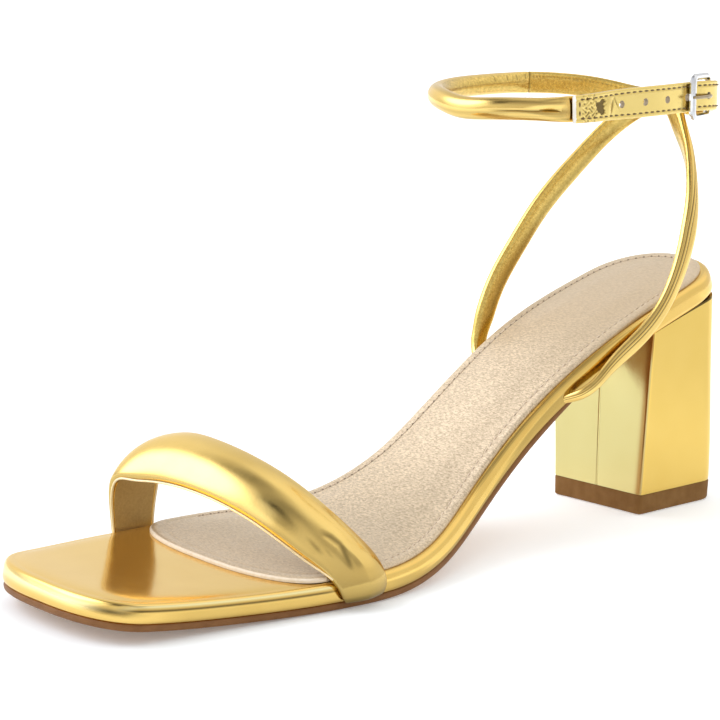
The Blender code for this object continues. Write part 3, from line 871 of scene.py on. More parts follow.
# Section of the sock: clearance, rolled edge and groove as height and width, and the crown
SOCK_CLEAR = 0.1
SOCK_EDGE = (0.6, 0.4)
SOCK_GROOVE = (0.2, 0.6)
SOCK_CROWN = 0.7
SOCK_CROWN_FROM = (3.4, 14.0)
SOCK_FOOT = (
    # inset, lift
    (SOCK_INSET, 0.05),
    (SOCK_INSET - 0.05, GAP + 0.3),
)
SOCK_INSETS = (*np.linspace(0, 1.2, 7), *np.linspace(1.6, 5.2, 16), *np.arange(6.0, 16.5, 1.0))
SOCK_CUT_FRONT = 176.0
SOCK_CUT_ROWS = 4
# Grain at the heel, more from the waist on and most at the waist, with a soft band of painted shade across it
SOCK_GRAIN = (0.3, 0.25, 0.45)
WAIST_RISE = (40.0, 85.0)
WAIST_FALL = (135.0, 165.0)
SOCK_SHADE = 0.14
SOCK_SHADE_ACROSS = (0.27, 0.13)


def sock_lift(inset):
    """Height of the sock over the footbed at a distance in from its edge."""
    round_edge = SOCK_EDGE[0] * np.exp(-inset / SOCK_EDGE[1])
    groove = SOCK_GROOVE[0] * bump_at(inset, STITCH_INSET, SOCK_GROOVE[1])
    top = GAP + SOCK_THICK - SOCK_CLEAR
    return top - round_edge - groove + SOCK_CROWN * smooth_step(inset, *SOCK_CROWN_FROM)


SOCK_ENDS = {"start": SHOE_BACK, "end": SOCK_FRONT, "end_round": SOCK_FRONT_ROUND,
             "end_power": SOCK_FRONT_POWER}


def make_sock():
    """Leather sock with a sewn groove near its edge and a cut front edge."""
    profile = [*SOCK_FOOT, *((SOCK_INSET + inset, sock_lift(inset)) for inset in SOCK_INSETS)]
    rings = np.array(sole_rings(profile, **SOCK_ENDS))
    wall = np.zeros((len(rings) - 1, rings.shape[1]), int)
    wall[:SOCK_CUT_ROWS] = (rings[0, :, 0] > SOCK_CUT_FRONT)[None, :]
    x, y = rings[..., 0], rings[..., 1]
    waist = between(x, WAIST_RISE, WAIST_FALL)
    heel_grain, added_grain, waist_grain = SOCK_GRAIN
    marks = {"grain": heel_grain + added_grain * smooth_step(x, *WAIST_RISE) + waist_grain * waist,
             "shade": SOCK_SHADE * waist * bump_at(share_across(x, y), *SOCK_SHADE_ACROSS)}
    return loft("sock_top", rings, [leather, cut_edge], "sock_leather", "sock",
                caps="ladder", pick=wall, marks=marks)


THREAD_ROUND = 6
THREAD_LEVELS = 5
# A thread's ends thin by a share, and it rises and dips by shares of its radius
THREAD_THIN = 0.35
THREAD_RISE = 0.9
THREAD_DIP = 5.2
PLACE_STEP = 0.4


def stitches(name, places, ahead, up, material, slot, length, radius):
    """Row of separate stitches, each a short thread that dips at both ends."""
    verts = []
    faces = []
    turn = 2 * math.pi * np.arange(THREAD_ROUND) / THREAD_ROUND
    for place, forward, rise in zip(places, ahead, up):
        side = np.cross(forward, rise)
        index = len(verts) + np.arange(THREAD_LEVELS * THREAD_ROUND).reshape(THREAD_LEVELS, THREAD_ROUND)
        for share in np.linspace(-0.5, 0.5, THREAD_LEVELS):
            wide = radius * (1 - THREAD_THIN * (2 * share) ** 2)
            middle = place + forward * length * share
            middle = middle + rise * radius * (THREAD_RISE - THREAD_DIP * share ** 2)
            ring = middle + np.outer(np.cos(turn) * wide, side) + np.outer(np.sin(turn) * wide, rise)
            verts += ((ring + SHIFT) * MM).tolist()
        after = np.roll(index, -1, axis=1)
        sides = np.stack([index[:-1], after[:-1], after[1:], index[1:]], axis=-1)
        faces += [*sides.reshape(-1, 4).tolist(), index[0].tolist(), index[-1].tolist()]
    mesh = bpy.data.meshes.new(name)
    mesh.from_pydata(verts, [], faces)
    return finish_piece(name, mesh, [material])


def even_places(points, pitch):
    """Places a pitch apart along a line of points, with the way ahead."""
    lengths = lengths_along(points)
    at = np.arange(pitch / 2, lengths[-1], pitch)
    beyond, before = (read_line(points, lengths, at + step) for step in (PLACE_STEP, -PLACE_STEP))
    return read_line(points, lengths, at), unit(beyond - before)


# Thread, and the dark mark that is painted shade of a needle hole: length, radius
SOCK_STITCH = (1.7, 0.2)
NEEDLE_HOLE_SHADE = (0.75, 0.24)
STITCH_SUNK = 0.02


def make_sock_stitches():
    """Thread sewn round the sock in its groove, with a dark mark of painted shade for a needle hole between
    the stitches.
    """
    edge = outline(SOCK_INSET + STITCH_INSET, rows=STITCH_LINE_ROWS, **SOCK_ENDS)
    line = on_sole(edge[:, 0], edge[:, 1], sock_lift(STITCH_INSET) - STITCH_SUNK)
    half = len(line) // 2
    loop = np.concatenate([line[half:], line[:half]])
    places, ahead = even_places(loop[loop[:, 0] < STITCH_FRONT], STITCH_PITCH / 2)
    x, y = places[:, 0], places[:, 1]
    up = unit(np.stack([-sole_slope(x), np.zeros(len(x)), np.ones(len(x))], axis=1))
    stitches("sock_stitches", places[::2], ahead[::2], up[::2], thread_cream, "sock_leather", *SOCK_STITCH)
    middle = (sole_lateral(x) + sole_medial(x)) / 2
    hole = (np.arange(len(places)) % 2 == 1) & ((y < middle) | (x < HOLES_BACK))
    stitches("sock_needle_hole_shades", places[hole], ahead[hole], up[hole], needle_hole_shade, "sock_leather",
             *NEEDLE_HOLE_SHADE)


# Heel
HEEL_SIDE_ROWS = 46
HEEL_SIDE_FROM = 0.03
HEEL_CORNER_ROWS = 9
HEEL_BREAST_ROWS = 18
SEAM_REACH = 3.4
HEEL_SHARES = np.array((0.0, 0.012, *np.linspace(0.03, 0.97, 30), 0.98, 0.988, 0.99, 1.0))
HEEL_EDGE = 0.992
# Painted shade along the gap under the footbed: on the heel's top rings past this share, fading in from the
# back
HEEL_GAP_SHADE = 0.988
HEEL_GAP_SHADE_FROM = (4.0, 14.0)
HEEL_CLEAR = 0.4 * GAP
BREAST_DEEP = 0.5
# Painted reflection on the breast, dark brown: along its outer edge, as distance and half width, and under
# the seat
BREAST_SHADE = 0.85
BREAST_EDGE = (1.5, 1.1)
BREAST_FALL = 0.5
BREAST_TOP = (3.0, 7.5)
# Seam in the breast: distance from the middle line, depth
HEEL_SEAM = ((3.0, 0.0), (0.7, 0.0), (0.35, 0.04), (0.18, 0.16), (0.07, 0.3))
WEARING_CENTRE = (22.0, 0.0)
WEARING_LEVELS = (
    # share in the heel's table, height, inset
    (HEEL[0, 0], 0.0, 0.5),
    (HEEL[0, 0], 0.25, 0.12),
    (HEEL[0, 0], 0.5, 0.0),
    (0.0, TOP_PIECE_HEIGHT - 0.4, 0.0),
    (0.0, TOP_PIECE_HEIGHT, 0.15),
)


def heel_plan(share, seam=False):
    """Plan outline of the heel at a level, with rounded breast corners and a seam in the breast."""
    wide, breast, back = (spline(HEEL[:, 0], HEEL[:, k])(share) for k in (1, 2, 3))
    step = np.linspace(HEEL_SIDE_FROM, 1, HEEL_SIDE_ROWS) ** 2 * (breast - HEEL_CORNER - back)
    half = wide * end_rounding(step, HEEL_BACK_ROUND, HEEL_BACK_POWER)
    side = np.stack([back + step, half], axis=1)
    turn = np.linspace(0, math.pi / 2, HEEL_CORNER_ROWS)[1:]
    corner = np.stack([breast - HEEL_CORNER * (1 - np.sin(turn)),
                       half[-1] - HEEL_CORNER * (1 - np.cos(turn))], axis=1)
    front = [(breast, y) for y in np.linspace(corner[-1, 1], SEAM_REACH, HEEL_BREAST_ROWS)[1:]]
    front += [(breast - (deep if seam else 0.0), y) for y, deep in HEEL_SEAM]
    plan = np.concatenate([side, corner, front])
    return np.concatenate([plan, plan[::-1] * (1, -1)])


def make_heel_block():
    """Foil-covered block with a butt seam down its breast."""
    low = TOP_PIECE_HEIGHT + HEEL_CLEAR
    rings = []
    for share in HEEL_SHARES:
        plan = heel_plan(share, seam=True)
        if share in (0.0, 1.0):
            plan = plan * (1, HEEL_EDGE)
        high = under_footbed(plan[:, 0])
        rings.append(np.column_stack([plan, low + (high - low) * share]))
    rings = np.array(rings)
    middle = rings[len(rings) // 2, :, 0]
    breast = (middle > middle.max() - BREAST_DEEP).astype(int)[None, :]
    gap_shade = (HEEL_SHARES > HEEL_GAP_SHADE)[:, None] * smooth_step(rings[..., 0], *HEEL_GAP_SHADE_FROM)
    # Painted reflection on the breast: dark along its outer edge and under the seat
    edge = rings[..., 1].max(axis=1, keepdims=True) - rings[..., 1]
    top = edge + BREAST_FALL * (rings[-1, :, 2] - rings[..., 2])
    fold = np.maximum(bump_at(edge, *BREAST_EDGE), 1 - smooth_step(top, *BREAST_TOP)) * breast
    shade = np.maximum(gap_shade, BREAST_SHADE * fold)
    return loft("heel_foil", rings, [foil_heel_shaded, foil_breast_lit], "gold_foil", "heel_block",
                pick=breast, marks={"shade": shade})


def make_heel_tip():
    """Brown wearing piece with softened edges."""
    rings = []
    for share, height, inset in WEARING_LEVELS:
        plan = heel_plan(share)
        plan = plan - unit(plan - np.array(WEARING_CENTRE)) * inset
        rings.append(np.column_stack([plan, np.full(len(plan), height)]))
    return loft("heel_tip", rings, [tip_brown], "heel_rubber", "heel_top_piece")


# Toe strap
STRAP_ROWS = 320
STRAP_ROUND = 56
STRAP_SHARP = 60.0
# Ends: rounded over a share of the length, to shares of the width and thickness, turned in at the front
STRAP_END = 0.045
END_WIDTH = 0.76
END_THICK = 0.35
END_HUG = 0.19
STRAP_ROLL = 0.25
STRAP_LEAN = 0.7
LEAN_TRIES = 8
UPPER_FROM = 0.4
PIPING_RADIUS = 0.36
PIPING_ROUND = 8
PIPING_LOW = 10.0
PIPING_INSET = 0.15
PIPING_OUT = 0.3
LINING_OUT = 0.1
ROLL_ROWS = 16
LINING_ROWS = 12
# Painted shade on the front roll, from a share of the width, and on the outer end, most where it looks down
# on the floor
ROLL_SHADE = 0.3
ROLL_FROM = (0.42, 0.49)
END_SHADE = 0.15
FLOOR_SHADE = 0.35
END_FACING = (0.0, 0.45)
END_FROM = (0.84, 0.95)
TIP_SHADE = 0.8
TIP_FROM = (0.962, 0.995)
# Creases on the outer end: half width, depth, shade, shares of the length, places across there
CREASES = (
    (1.0, 0.2, 0.6, (0.825, 0.84, 0.868, 0.895, 0.925), (1.2, 0.7, 0.6, 1.8, 2.8)),
    (0.5, 0.08, 0.45, (0.81, 0.83, 0.85), (4.9, 5.2, 5.6)),
    (0.35, 0.08, 0.6, (0.864, 0.872), (4.2, 4.6)),
)
CREASE_FADE = 0.018


def strap_frames():
    """Rows of the toe strap with the directions to its front edge and outward."""
    rows = through(TOE_STRAP, STRAP_ROWS)
    along = unit(np.gradient(rows[:, :3], axis=0))
    tilt = np.radians(rows[:, 5])
    front = np.stack([np.cos(tilt), np.zeros(len(tilt)), -np.sin(tilt)], axis=1)
    front = unit(front - along * np.sum(front * along, axis=1, keepdims=True))
    return rows, front, np.cross(front, along)


def strap_section(width, thick):
    """Arc of the toe strap's crown, then its rolled edges and the lining, as across and out."""
    roll = STRAP_ROLL * thick
    lean = STRAP_LEAN
    for _ in range(LEAN_TRIES):
        reach = width / 2 - roll * (1 - math.sin(lean))
        shoulder = LINING_OUT + roll * (1 + math.cos(lean))
        lean = 2 * math.atan((thick - shoulder) / reach)
    turn = np.linspace(-lean, lean, STRAP_ROUND)
    radius = reach / math.sin(lean)
    edge = np.linspace(lean, math.pi, ROLL_ROWS + 1)[1:]
    roll_across = width / 2 - roll * (1 - np.sin(edge))
    roll_out = LINING_OUT + roll * (1 + np.cos(edge))
    inner = np.linspace(-1, 1, LINING_ROWS + 2)[1:-1] * (width / 2 - roll)
    across = np.concatenate([-radius * np.sin(turn), -roll_across, inner, roll_across[::-1]])
    out = np.concatenate([thick - radius * (1 - np.cos(turn)), roll_out,
                          np.full(LINING_ROWS, LINING_OUT), roll_out[::-1]])
    return across, out


def make_toe_strap():
    """Padded band over the toes with soft creases at its outer end."""
    rows, front, outward = strap_frames()
    rings, piped, shades = [], [], []
    for k, (row, ahead, out) in enumerate(zip(rows, front, outward)):
        share = k / (STRAP_ROWS - 1)
        gather = end_rounding(min(share, 1 - share), STRAP_END, CIRCLE)
        wide, thick = (end + (1 - end) * gather for end in (END_WIDTH, END_THICK))
        across, height = strap_section(row[3] * wide, row[4] * thick)
        upper = height > UPPER_FROM * row[4]
        height = height - END_HUG * smooth_step(share, *END_FROM) * np.maximum(across, 0)
        shade = gather * ROLL_SHADE * smooth_step(across, *(row[3] * np.array(ROLL_FROM)))
        for wide, deep, dark, at, places in CREASES:
            begun = smooth_step(share, at[0] - CREASE_FADE, at[0] + CREASE_FADE)
            over = smooth_step(share, at[-1] - CREASE_FADE, at[-1] + CREASE_FADE)
            line = (begun - over) * upper * bump_at(across, np.interp(share, at, places), wide)
            height = height - deep * line
            shade = np.maximum(shade, dark * line)
        rings.append(row[:3] + np.outer(across, ahead) + np.outer(height, out))
        shades.append(shade)
        reach = row[3] / 2 - PIPING_INSET
        piped.append([row[:3] + ahead * side * reach + out * PIPING_OUT for side in (1, -1)])
    shares = np.linspace(0, 1, STRAP_ROWS)[:, None]
    end = smooth_step(shares, *END_FROM) * (END_SHADE + FLOOR_SHADE * facing_floor(rings, END_FACING))
    end = np.maximum(end, TIP_SHADE * smooth_step(shares, *TIP_FROM))
    lined = np.zeros(len(across), int)
    lined[STRAP_ROUND + ROLL_ROWS - 1:STRAP_ROUND + ROLL_ROWS + LINING_ROWS] = 1
    marks = {"shade": np.maximum(shades, end)}
    piece = loft("toe_strap_pad", rings, [foil_strap, lining], "gold_foil", "toe_strap", STRAP_SHARP,
                 pick=lined[None, :], marks=marks)
    for side, name in enumerate(("toe_strap_front_edge", "toe_strap_rear_edge")):
        line = np.array(piped)[(rows[:, 2] > PIPING_LOW) | (rows[:, 1] < 0), side]
        loft(name, tube_rings(line, PIPING_RADIUS, PIPING_ROUND), [piping], "gold_foil")
    return piece


# Ankle strap
LOOP_ROUND = 88
LOOP_SPANS = (
    # from, to, rings
    (3.9, 80.0, 190),
    (80.3, 104.0, 110),
    (104.5, 170.0, 130),
    (170.3, 195.5, 100),
)
LOOP_SAG = 1.0
LOOP_SAG_AT = (158.0, 9.0)
# Worn inner side: how far round it reaches, and where it ends
WORN_SIDE = -0.45
WORN_UNTIL = 186.0
# Painted reflection bands along the padded front: height on it, half width, shade
LOOP_REFLECTION_BANDS = ((-0.9, 0.7, 0.3), (-2.8, 0.4, 0.4), (2.9, 0.35, 0.3))
LOOP_REFLECTION_BANDS_FROM = (100.0, 115.0)
# Fold on both faces where the padding runs out, its depth a share of the thickness
LOOP_FOLD_RISE = (174.0, 187.0)
LOOP_FOLD_FALL = (188.0, 190.0)
LOOP_FOLD_DEEP = 0.28
LOOP_FOLD_WIDE = 0.9
# Crease with painted shade, and painted reflection streaks, on the outer face there, as height, half width
# and shade
LOOP_CREASE_RISE = (164.0, 174.0)
LOOP_CREASE_FALL = (186.0, 190.0)
LOOP_CREASE = (-0.3, 0.25, 0.75)
LOOP_CREASE_DEEP = 0.35
LOOP_REFLECTION_STREAKS = ((1.9, 0.5, 0.45), (-1.9, 0.35, 0.3))
# Marks inside the loop: a seam across it with the half width and strength of its shade and dent
LOOP_SEAM = 84.0
SEAM_DARK = (0.3, 0.7)
SEAM_DENT = (0.35, 0.18)
SEAM_NARROW = 0.3
# Lines along it, as height, half width and shade, and ticks at some lengths
LOOP_THREAD = (1.7, 0.28, 0.5)
LOOP_THREAD_TURN = 4.2
LOOP_THREAD_BREAK = -0.3
LOOP_EDGES = ((-0.5, 0.2, 0.35), (2.8, 0.16, 0.35))
LOOP_LINE = (0.2, 0.2, 0.35)
LOOP_TICKS = np.array((86.2, 90.5, 95.0, 100.9))
TICK_SPAN = (0.9, 2.5)
TICK_DARK = (0.2, 0.6)
LOOP_MARKS_END = 130.0
LOOP_MARKS_DEEP = 0.12


def loop_marks(along, rise):
    """Dark lines inside the loop: thread and edges behind the seam, ticks and a line before it."""
    if along < LOOP_SEAM:
        sewn = math.sin(along * LOOP_THREAD_TURN) > LOOP_THREAD_BREAK
        lines = bands(rise, (LOOP_THREAD,)) * sewn + bands(rise, LOOP_EDGES)
    else:
        low, high = TICK_SPAN
        wide, dark = TICK_DARK
        ticks = dark * bump_at(along, LOOP_TICKS, wide).max() * (rise > low) * (rise < high)
        lines = np.maximum(ticks, bands(rise, (LOOP_LINE,)))
    wide, dark = SEAM_DARK
    return np.clip(np.maximum(lines, dark * bump_at(along, LOOP_SEAM, wide)), 0, 1)


def make_ankle_loop():
    """Padded strap round the front of the ankle that runs flat round the back."""
    along = np.concatenate([np.linspace(*span) for span in LOOP_SPANS])
    sizes = [np.interp(along, ANKLE_STRAP[:, 0], ANKLE_STRAP[:, k]) for k in (1, 2, 3)]
    points, outward, upward = loop_frame(along)
    points[:, 2] -= LOOP_SAG * bump_at(along, *LOOP_SAG_AT)
    rings, shades = [], []
    for s, point, out, up, tall, thick, square in zip(along, points, outward, upward, *sizes):
        rise, reach = oval_section(tall, thick, square, LOOP_ROUND)
        fold = LOOP_FOLD_DEEP * thick * between(s, LOOP_FOLD_RISE, LOOP_FOLD_FALL)
        reach = reach - np.sign(reach) * fold * bump_at(rise, 0.0, LOOP_FOLD_WIDE)
        creased = between(s, LOOP_CREASE_RISE, LOOP_CREASE_FALL) * (reach > 0)
        reach = reach - LOOP_CREASE_DEEP * creased * bump_at(rise, *LOOP_CREASE[:2])
        marks = loop_marks(s, rise) * (reach < 0) * (s < LOOP_MARKS_END)
        lines = creased * np.maximum(bands(rise, (LOOP_CREASE,)), bands(rise, LOOP_REFLECTION_STREAKS))
        front = bands(rise, LOOP_REFLECTION_BANDS) * smooth_step(s, *LOOP_REFLECTION_BANDS_FROM) * (reach > 0)
        shades.append(np.maximum.reduce((marks, lines, front)))
        wide, deep = SEAM_DENT
        seam = deep * bump_at(s, LOOP_SEAM, wide)
        reach = reach - np.sign(reach) * (seam + LOOP_MARKS_DEEP * marks)
        rise = rise * (1 - seam * SEAM_NARROW)
        rings.append(point + np.outer(rise, up) + np.outer(reach, out))
    worn = (soft_circle(LOOP_ROUND, 1.0)[1] < WORN_SIDE)[None, :] & (along[:-1] < WORN_UNTIL)[:, None]
    marks = {"shade": np.array(shades)}
    piece = loft("ankle_strap_loop", rings, [foil_strap, foil_worn], "gold_foil", "ankle_strap",
                 pick=worn.astype(int), marks=marks)
    return piece


# Feet of the slings under the rim, outer and inner, and how wide the band is above them
SLING_TIPS = (((77.5, 18.8, 40.8), (75.6, 21.6, 41.9)), ((69.4, -23.6, 46.6), (71.0, -20.5, 45.4)))
SLING_BAND = (
    # height, share of the width, shift across towards the lower edge
    (40.0, 0.35, 0.0),
    (43.5, 0.5, 0.3),
    (47.0, 0.52, 1.4),
    (50.0, 0.58, 2.0),
    (54.0, 0.72, 2.0),
    (58.0, 0.78, 1.5),
    (67.0, 0.78, 0.6),
    (75.0, 0.86, 0.3),
    (88.0, 1.0, 0.0),
)
MEDIAL_BAND = (
    # the same columns on the inner side
    (45.0, 0.5, 0.0),
    (52.0, 0.9, 0.0),
    (60.0, 1.12, 0.3),
    (100.0, 1.12, 0.3),
    (112.0, 1.0, 0.0),
)
SLING_RINGS = 460
SLING_ROUND = 96
SLING_POWER = 0.8
# Shares of the thickness outside and inside the line, and what is left of it at a narrow foot
SLING_OUT = 0.62
SLING_IN = 0.38
SLING_THIN = 0.4
# Sewn lines outside and a darker band inside: place across, half width, strength
SLING_SEAMS = ((-0.66, 0.055, 1.0), (-0.3, 0.055, 1.0))
SLING_SEAM_DEEP = 0.2
SLING_SEAM_SHADE = 0.85
SLING_INNER_BAND = ((0.3, 0.35, 0.4),)


def eased(value, stations, values):
    """Smooth run through the rows of a table, level at each row."""
    stations, values = np.asarray(stations), np.asarray(values)
    total = np.full(np.shape(value), values[0], float)
    for low, high, step in zip(stations[:-1], stations[1:], np.diff(values)):
        total += step * smooth_step(value, low, high)
    return total


def sling_frames(count):
    """Points of the slings with the directions across and outward."""
    lateral, medial = SLING_TIPS
    points = through((*lateral, *SLINGS, *medial), count)
    forward = unit(np.gradient(points, axis=0))
    back = np.minimum(points[:, 0] - SLING_TURN[0], 0.0)
    outward = np.stack([back, points[:, 1] - SLING_TURN[1], np.zeros(len(points))], axis=1)
    outward = unit(outward - forward * np.sum(outward * forward, axis=1, keepdims=True))
    return points, np.cross(forward, outward), outward


def make_slings():
    """Band from the lateral rim round the back of the ankle to the medial rim, sewn along one edge."""
    points, across, outward = sling_frames(SLING_RINGS)
    place, round_out = soft_circle(SLING_ROUND, SLING_POWER)
    outer = round_out > 0
    seams = bands(place, SLING_SEAMS) * outer
    out = round_out * np.where(outer, SLING_OUT, SLING_IN) * SLING_THICK - SLING_SEAM_DEEP * seams
    near, far = np.array(SLING_BAND), np.array(MEDIAL_BAND)
    level = np.clip(points[:, 2], near[0, 0], near[-1, 0])
    lateral = points[:, 1] > SLING_TURN[1]
    share, shift = (np.where(lateral, spline(near[:, 0], near[:, k])(level),
                             eased(points[:, 2], far[:, 0], far[:, k]))[:, None, None] for k in (1, 2))
    wide = place[:, None] * share * SLING_WIDTH / 2 + shift
    deep = out[:, None] * (SLING_THIN + (1 - SLING_THIN) * share)
    rings = points[:, None] + wide * across[:, None] + deep * outward[:, None]
    inner = ~outer[None, :]
    marks = {"shade": np.clip(SLING_SEAM_SHADE * seams + bands(place, SLING_INNER_BAND) * inner, 0, 1)}
    return loft("ankle_slings", rings, [foil_strap, foil_worn], "gold_foil", "ankle_strap",
                pick=inner.astype(int), marks=marks)


# Buckle strap
STRAP_EDGE = 0.5
STRAP_EDGE_ROWS = 9
STRAP_TIP_LEAST = 0.3
SEWN_LENGTH = 20.0
SEWN_RINGS = 130
PLAIN_RINGS = 270
RING_STEP = 0.25
OUTER_FACE = 0.1
# Groove under the thread: depth, half width
STRAP_GROOVE = (0.12, 0.3)
# Crumpled foil at the sewn end, with painted shade in its folds, hollow and creases, as lengths from it:
# folds, hollow, ridge and two slanted creases
FOLD_WAVES = (
    # turn a millimetre, sway, its turn a millimetre the other way, its start
    (2.7, 1.4, 2.1, 0.5),
    (3.0, 1.2, 2.3, 0.0),
)
RAGGED = (
    # height, turn a millimetre along, turn a millimetre up
    (0.35, 2.3, 1.7),
    (0.25, -1.9, 5.1),
)
FOLDS_RISE = (1.8, 2.6)
FOLDS_FALL = (6.6, 8.0)
FOLDS_DARK = (0.3, 0.7, 0.75)
HOLLOW_RISE = (7.2, 8.2)
HOLLOW_FALL = (11.2, 12.0)
HOLLOW_TALL = ((7.0, 11.6), (1.2, 2.3))
HOLLOW_EDGE = 0.3
RIDGE_AT = (13.4, 1.2)
RIDGE_TALL = 2.6
SLANTED = (
    # along, lean, half width, middle, half height, shade
    (15.3, -0.25, 0.3, -0.2, 1.7, 0.9),
    (17.6, 0.5, 0.3, 1.0, 1.4, 0.8),
)
# Heights of the folds, hollow, ridge and creases
SEWN_HEIGHTS = (0.2, -0.35, 0.4, -0.4)
PUNCH_SEGMENTS = 28


def strap_lift(along):
    """Way out from the loop's line along the buckle strap."""
    return spline(STRAP_LIFT[:, 0], STRAP_LIFT[:, 1])(along)


def strap_tall(along):
    """Height of the buckle strap along the loop."""
    tall = np.interp(along - SEWN_END, (0.0, SEWN_TAPER), (SEWN_TALL, STRAP_TALL))
    return tall * np.maximum(end_rounding(STRAP_TAIL - along, STRAP_TIP, CIRCLE), STRAP_TIP_LEAST)


def flat_section(tall, thick):
    """Ring of a flat strap with rounded edges, as columns of up and out, its outer face first."""
    reach, deep = tall / 2 - STRAP_EDGE, thick / 2 - STRAP_EDGE
    turn = np.linspace(0, math.pi, STRAP_EDGE_ROWS)[1:-1]
    edge = np.column_stack([reach + STRAP_EDGE * np.sin(turn),
                            deep * np.sign(np.cos(turn)) + STRAP_EDGE * np.cos(turn)])
    outer = np.column_stack([np.linspace(-reach, reach, FACE_ROWS), np.full(FACE_ROWS, thick / 2)])
    inner = np.column_stack([np.linspace(reach, -reach, FACE_ROWS // 2), np.full(FACE_ROWS // 2, -thick / 2)])
    ring = np.concatenate([outer, edge, inner, (edge * (-1, 1))[::-1]])
    return ring[:, 0], ring[:, 1]


def swaying(value, other, turn, sway, sway_turn, start):
    """Wave along one way that sways along the other."""
    return np.sin(turn * value + sway * np.sin(sway_turn * other + start))


def sewn_relief(along, up):
    """Height and painted shade of the crumpled foil over the sewn end."""
    at = along - SEWN_END
    folds = swaying(at, up, *FOLD_WAVES[0]) * swaying(up, at, *FOLD_WAVES[1])
    folds = folds * between(at, FOLDS_RISE, FOLDS_FALL)
    ragged = sum(height * np.sin(ahead * at + above * up) for height, ahead, above in RAGGED)
    past = np.abs(up) - np.interp(at, *HOLLOW_TALL) - ragged
    hollow = between(at + ragged, HOLLOW_RISE, HOLLOW_FALL)
    hollow = hollow * (1 - smooth_step(past, -HOLLOW_EDGE, HOLLOW_EDGE))
    ridge = bump_at(at, *RIDGE_AT) * bump_at(up, 0.0, RIDGE_TALL)
    low, high, dark = FOLDS_DARK
    creases = 0.0
    shade = dark * smooth_step(-folds, low, high) + hollow
    for place, lean, wide, middle, tall, dark in SLANTED:
        crease = bump_at(at + lean * up, place, wide) * bump_at(up, middle, tall)
        creases = creases + crease
        shade = shade + dark * crease
    relief = sum(height * form for height, form in zip(SEWN_HEIGHTS, (folds, hollow, ridge, creases)))
    return relief, np.clip(shade, 0, 1)


def make_buckle_strap():
    """Flat strap with punched holes, sewn on the padded end and run through the buckle."""
    plain_from = SEWN_END + SEWN_LENGTH
    along = np.concatenate([np.linspace(SEWN_END, plain_from, SEWN_RINGS),
                            np.linspace(plain_from + RING_STEP, STRAP_TAIL, PLAIN_RINGS)])
    rings, shades = [], []
    rows = zip(along, *loop_frame(along), strap_lift(along), strap_tall(along))
    for s, point, push, rise, lift, tall in rows:
        up, thick = flat_section(tall, STRAP_THICK)
        outer = thick > STRAP_THICK / 2 - OUTER_FACE
        deep, wide = STRAP_GROOVE
        groove = deep * bump_at(np.abs(up), tall / 2 - STRAP_STITCH_INSET, wide)
        relief, shade = sewn_relief(s, up)
        out = thick + np.where(outer, relief - groove, 0.0) + lift
        rings.append(point + np.outer(up, rise) + np.outer(out, push))
        shades.append(shade * outer)
    strap = loft("buckle_strap_foil", rings, [foil_thin, strap_core], "gold_foil", "buckle_strap",
                 marks={"shade": np.array(shades)})
    for k in range(HOLE_COUNT):
        punch_hole(strap, PRONG_HOLE_ALONG - k * HOLE_PITCH)
    return strap


def punch_hole(strap, along):
    """Round hole through the strap at a length along the loop, with the cut applied."""
    point, outward, _ = loop_frame(np.array(along))
    bore = bmesh.new()
    bmesh.ops.create_cone(bore, cap_ends=True, segments=PUNCH_SEGMENTS, radius1=HOLE_RADIUS * MM,
                          radius2=HOLE_RADIUS * MM, depth=2 * STRAP_TALL * MM)
    turn = Vector(outward).to_track_quat("Z", "Y").to_matrix().to_4x4()
    bore.transform(Matrix.Translation(Vector(point + SHIFT) * MM) @ turn)
    mesh = bpy.data.meshes.new("punch")
    bore.to_mesh(mesh)
    bore.free()
    mesh.materials.append(strap_core)
    tool = bpy.data.objects.new("punch", mesh)
    bpy.context.scene.collection.objects.link(tool)
    cut = strap.modifiers.new("punch", "BOOLEAN")
    cut.operation = "DIFFERENCE"
    cut.solver = "EXACT"
    cut.material_mode = "TRANSFER"
    cut.object = tool
    bpy.context.view_layer.update()
    graph = bpy.context.evaluated_depsgraph_get()
    done = bpy.data.meshes.new_from_object(strap.evaluated_get(graph))
    strap.modifiers.remove(cut)
    strap.data = done
    bpy.data.objects.remove(tool)


# Thread: length and radius, and where its rows run
STRAP_STITCH = (1.5, 0.2)
STRAP_STITCH_PITCH = 2.5
ROWS_FROM = 1.2
ROWS_END = 2.5
ROW_POINTS = 600
ROW_SUNK = 0.08
CROSS_REACH = 2.4
CROSS_POINTS = 40
CROSS_SUNK = 0.03


def make_strap_stitches():
    """Rows of thread along both edges of the buckle strap and across its sewn end."""
    along = np.linspace(SEWN_END + ROWS_FROM, STRAP_TAIL - ROWS_END, ROW_POINTS)
    points, outward, upward = loop_frame(along)
    face = points + outward * (strap_lift(along) + STRAP_THICK / 2 - ROW_SUNK)[:, None]
    edge = upward * (strap_tall(along) / 2 - STRAP_STITCH_INSET)[:, None]
    start = SEWN_END + STRAP_STITCH_INSET
    level = np.linspace(-CROSS_REACH, CROSS_REACH, CROSS_POINTS)[:, None]
    cross = beside_loop(start, strap_lift(start) + STRAP_THICK / 2 - CROSS_SUNK, level)
    places, ahead, up = [], [], []
    for row in (face + edge, face - edge, cross):
        spots, forward = even_places(row, STRAP_STITCH_PITCH)
        near = np.argmin(np.linalg.norm(spots[:, None] - points[None], axis=2), axis=1)
        push = outward[near]
        places.append(spots)
        ahead.append(unit(forward - push * np.sum(forward * push, axis=1, keepdims=True)))
        up.append(push)
    places, ahead, up = (np.concatenate(rows) for rows in (places, ahead, up))
    return stitches("strap_stitches", places, ahead, up, thread_with_hole_shade, "gold_foil", *STRAP_STITCH)


